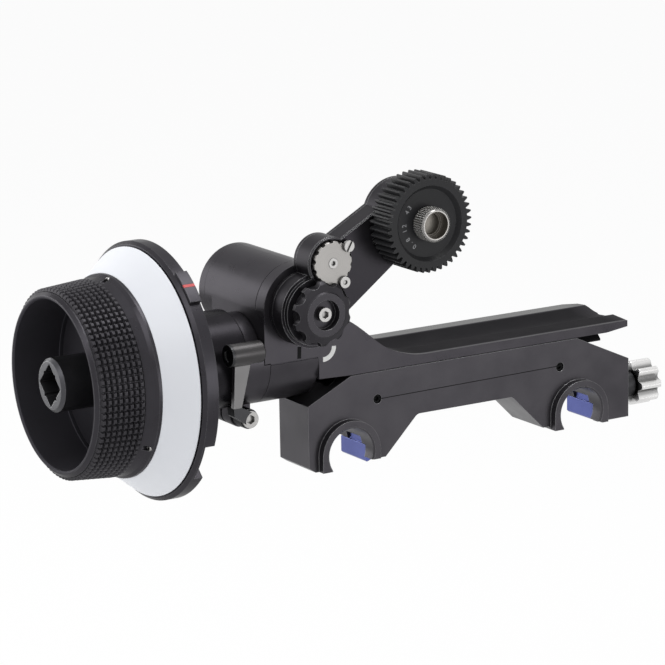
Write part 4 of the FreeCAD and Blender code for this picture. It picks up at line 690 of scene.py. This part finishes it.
def makeMark(name, points, width, finish, bodyName):
    # a strip of even width along points in the XZ plane, with four corners at each point
    verts, faces = [], []
    for k, (x, z) in enumerate(points):
        ahead = points[min(k + 1, len(points) - 1)]
        behind = points[max(k - 1, 0)]
        run = Vector((ahead[0] - behind[0], ahead[1] - behind[1])).normalized()
        side = Vector((-run.y, run.x)) * width / 2
        for y in (marks["frontY"], marks["backY"]):
            verts.append((x + side.x, y, z + side.y))
            verts.append((x - side.x, y, z - side.y))
    last = 4 * (len(points) - 1)
    for a in range(0, last, 4):
        b = a + 4
        faces.append((a, b, b + 1, a + 1))
        faces.append((a + 2, a + 3, b + 3, b + 2))
        faces.append((a, a + 2, b + 2, b))
        faces.append((a + 1, b + 1, b + 3, a + 3))
    faces.append((0, 1, 3, 2))
    faces.append((last, last + 2, last + 3, last + 1))
    mesh = bpy.data.meshes.new(name)
    mesh.from_pydata(verts, [], faces)
    mesh.update()
    mesh.materials.append(materials[finish])
    piece = bpy.data.objects.new(name, mesh)
    bpy.context.scene.collection.objects.link(piece)
    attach(piece, bodyName)


def makeCrescent():
    x, z = crescent["centre"]
    points = []
    for k in range(crescent["steps"] + 1):
        share = k / crescent["steps"]
        angle = math.radians(crescent["from"] + share * (crescent["to"] - crescent["from"]))
        points.append((x + crescent["radius"] * math.cos(angle), z + crescent["radius"] * math.sin(angle)))
    makeMark("carriageCrescent", points, crescent["width"], "whiteFill", "carriage")


def makeFrontLines():
    for name, line in frontLines.items():
        makeMark(name, line["points"], line["width"], "grooveShade", line["body"])


gearNumbers = {"words": [("43", 145.0), ("12", 186.0), ("0.8", 224.0)],  # each with the angle of its middle
               "radius": 9.7 * mm, "size": 2.5 * mm, "step": 11.5, "floorY": -19.2 * mm, "proud": 0.03 * mm,
               "roundness": 3, "weld": 0.002 * mm}


def letterMesh(letter, angle):
    # one letter on the face of the gear, with its foot towards the axis
    curve = bpy.data.curves.new("number", "FONT")
    curve.body = letter
    curve.size = gearNumbers["size"]
    curve.align_x = "CENTER"
    curve.align_y = "CENTER"
    curve.extrude = gearNumbers["proud"]
    curve.resolution_u = gearNumbers["roundness"]
    holder = bpy.data.objects.new("number", curve)
    bpy.context.scene.collection.objects.link(holder)
    bpy.context.view_layer.update()
    mesh = bpy.data.meshes.new_from_object(holder)
    bpy.data.objects.remove(holder)
    stand = Matrix.Rotation(math.pi / 2, 4, "X")
    spin = Matrix.Rotation(math.pi / 2 - angle, 4, "Y")
    x = driveCentre[0] + gearNumbers["radius"] * math.cos(angle)
    z = driveCentre[2] + gearNumbers["radius"] * math.sin(angle)
    mesh.transform(Matrix.Translation((x, gearNumbers["floorY"], z)) @ spin @ stand)
    return mesh


def makeGearNumbers():
    # plain numbers set around the face of the drive gear
    joined = bmesh.new()
    for word, middle in gearNumbers["words"]:
        for k, letter in enumerate(word):
            shift = k - (len(word) - 1) / 2
            mesh = letterMesh(letter, math.radians(middle - shift * gearNumbers["step"]))
            joined.from_mesh(mesh)
            bpy.data.meshes.remove(mesh)
    bmesh.ops.remove_doubles(joined, verts=joined.verts, dist=gearNumbers["weld"])
    bmesh.ops.recalc_face_normals(joined, faces=joined.faces)
    mesh = bpy.data.meshes.new("gearNumbers")
    joined.to_mesh(mesh)
    joined.free()
    mesh.materials.append(materials["numberGrey"])
    piece = bpy.data.objects.new("gearNumbers", mesh)
    bpy.context.scene.collection.objects.link(piece)
    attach(piece, "drive_body")


makeCrescent()
makeFrontLines()
makeGearNumbers()
print("marks made")


# stage: floor, world, lamps and camera

stage = {"floorZ": -150.0 * mm, "floorSize": 12.0, "floorColour": (0.9, 0.9, 0.9), "floorShade": 0.06,
         "ambientColour": (0.97, 0.98, 1.0), "ambient": 0.45, "backdropColour": (1.0, 1.0, 1.0)}


def seenShare(tree):
    # 1 for the rays that show the backdrop: straight to the camera, in a reflection or through glass
    path = addNode(tree, "ShaderNodeLightPath").outputs
    mirrored = mathNode(tree, "MAXIMUM", path["Is Glossy Ray"], path["Is Transmission Ray"])
    return mathNode(tree, "MAXIMUM", path["Is Camera Ray"], mirrored)


def mixShader(tree, share, first, second):
    node = addNode(tree, "ShaderNodeMixShader")
    feed(tree, node.inputs[0], share)
    feed(tree, node.inputs[1], first.outputs[0])
    feed(tree, node.inputs[2], second.outputs[0])
    return node.outputs[0]


def makeFloorWhite():
    material = bpy.data.materials.new("floorWhite")
    material.use_nodes = True
    tree = material.node_tree
    tree.nodes.clear()
    lit = addNode(tree, "ShaderNodeBsdfDiffuse")
    feed(tree, lit.inputs["Color"], opaque(stage["floorColour"]))
    glow = addNode(tree, "ShaderNodeEmission")
    feed(tree, glow.inputs["Strength"], 1.0)
    share = mathNode(tree, "MULTIPLY", seenShare(tree), 1.0 - stage["floorShade"])
    output = addNode(tree, "ShaderNodeOutputMaterial")
    feed(tree, output.inputs["Surface"], mixShader(tree, share, lit, glow))
    layOut(tree)
    return material


def makeFloor():
    half = stage["floorSize"] / 2
    sides = ((-half, -half), (half, -half), (half, half), (-half, half))
    corners = [(x, y, stage["floorZ"]) for x, y in sides]
    mesh = bpy.data.meshes.new("floor")
    mesh.from_pydata(corners, [], [(0, 1, 2, 3)])
    mesh.materials.append(makeFloorWhite())
    floor = bpy.data.objects.new("floor", mesh)
    bpy.context.scene.collection.objects.link(floor)


def makeWorld():
    world = bpy.data.worlds.new("studio")
    bpy.context.scene.world = world
    world.use_nodes = True
    tree = world.node_tree
    tree.nodes.clear()
    ambient = addNode(tree, "ShaderNodeBackground")
    feed(tree, ambient.inputs["Color"], opaque(stage["ambientColour"]))
    feed(tree, ambient.inputs["Strength"], stage["ambient"])
    backdrop = addNode(tree, "ShaderNodeBackground")
    feed(tree, backdrop.inputs["Color"], opaque(stage["backdropColour"]))
    feed(tree, backdrop.inputs["Strength"], 1.0)
    output = addNode(tree, "ShaderNodeOutputWorld")
    feed(tree, output.inputs["Surface"], mixShader(tree, seenShare(tree), ambient, backdrop))
    layOut(tree)


lamps = {
    "lampTop": {"place": (0.15, -0.1, 0.98), "aim": (-0.05, 0.0, 0.03), "size": (0.55, 0.55), "power": 6.5},
    "lampFront": {"place": (0.33, -0.78, 0.02), "aim": (-0.05, 0.0, 0.03), "size": (0.35, 0.35),
                  "power": 1.2},
    "lampLeft": {"place": (-0.8, -0.2, 0.7), "aim": (-0.08, 0.0, 0.03), "size": (0.5, 0.5), "power": 2.2},
    "lampBack": {"place": (-0.5, 0.85, 0.15), "aim": (-0.08, 0.0, 0.03), "size": (0.7, 0.6), "power": 3.2},
}


def makeLamps():
    for name, lamp in lamps.items():
        data = bpy.data.lights.new(name, "AREA")
        data.shape = "RECTANGLE"
        data.size, data.size_y = lamp["size"]
        data.energy = lamp["power"]
        holder = bpy.data.objects.new(name, data)
        bpy.context.scene.collection.objects.link(holder)
        holder.visible_camera = False
        holder.location = lamp["place"]
        way = Vector(lamp["aim"]) - Vector(lamp["place"])
        holder.rotation_euler = way.to_track_quat("-Z", "Y").to_euler()


view = {"place": (-674.95 * mm, -999.13 * mm, 320.53 * mm), "lens": 179.86, "sensor": 36.0,
        "shift": (-0.0114, -0.0331), "clip": (0.05, 20.0),
        "right": (0.84796526, -0.52976737, -0.01736248),
        "up": (0.13131536, 0.17822764, 0.97518777),
        "back": (-0.51352819, -0.82920531, 0.22069744)}


def makeCamera():
    data = bpy.data.cameras.new("camera")
    data.lens = view["lens"]
    data.sensor_width = view["sensor"]
    data.shift_x, data.shift_y = view["shift"]
    data.clip_start, data.clip_end = view["clip"]
    camera = bpy.data.objects.new("camera", data)
    bpy.context.scene.collection.objects.link(camera)
    turn = Matrix((view["right"], view["up"], view["back"])).transposed().to_4x4()
    camera.matrix_world = Matrix.Translation(Vector(view["place"])) @ turn
    bpy.context.scene.camera = camera


makeFloor()
makeWorld()
makeLamps()
makeCamera()
bpy.context.scene.view_settings.view_transform = "Standard"
print("stage made")
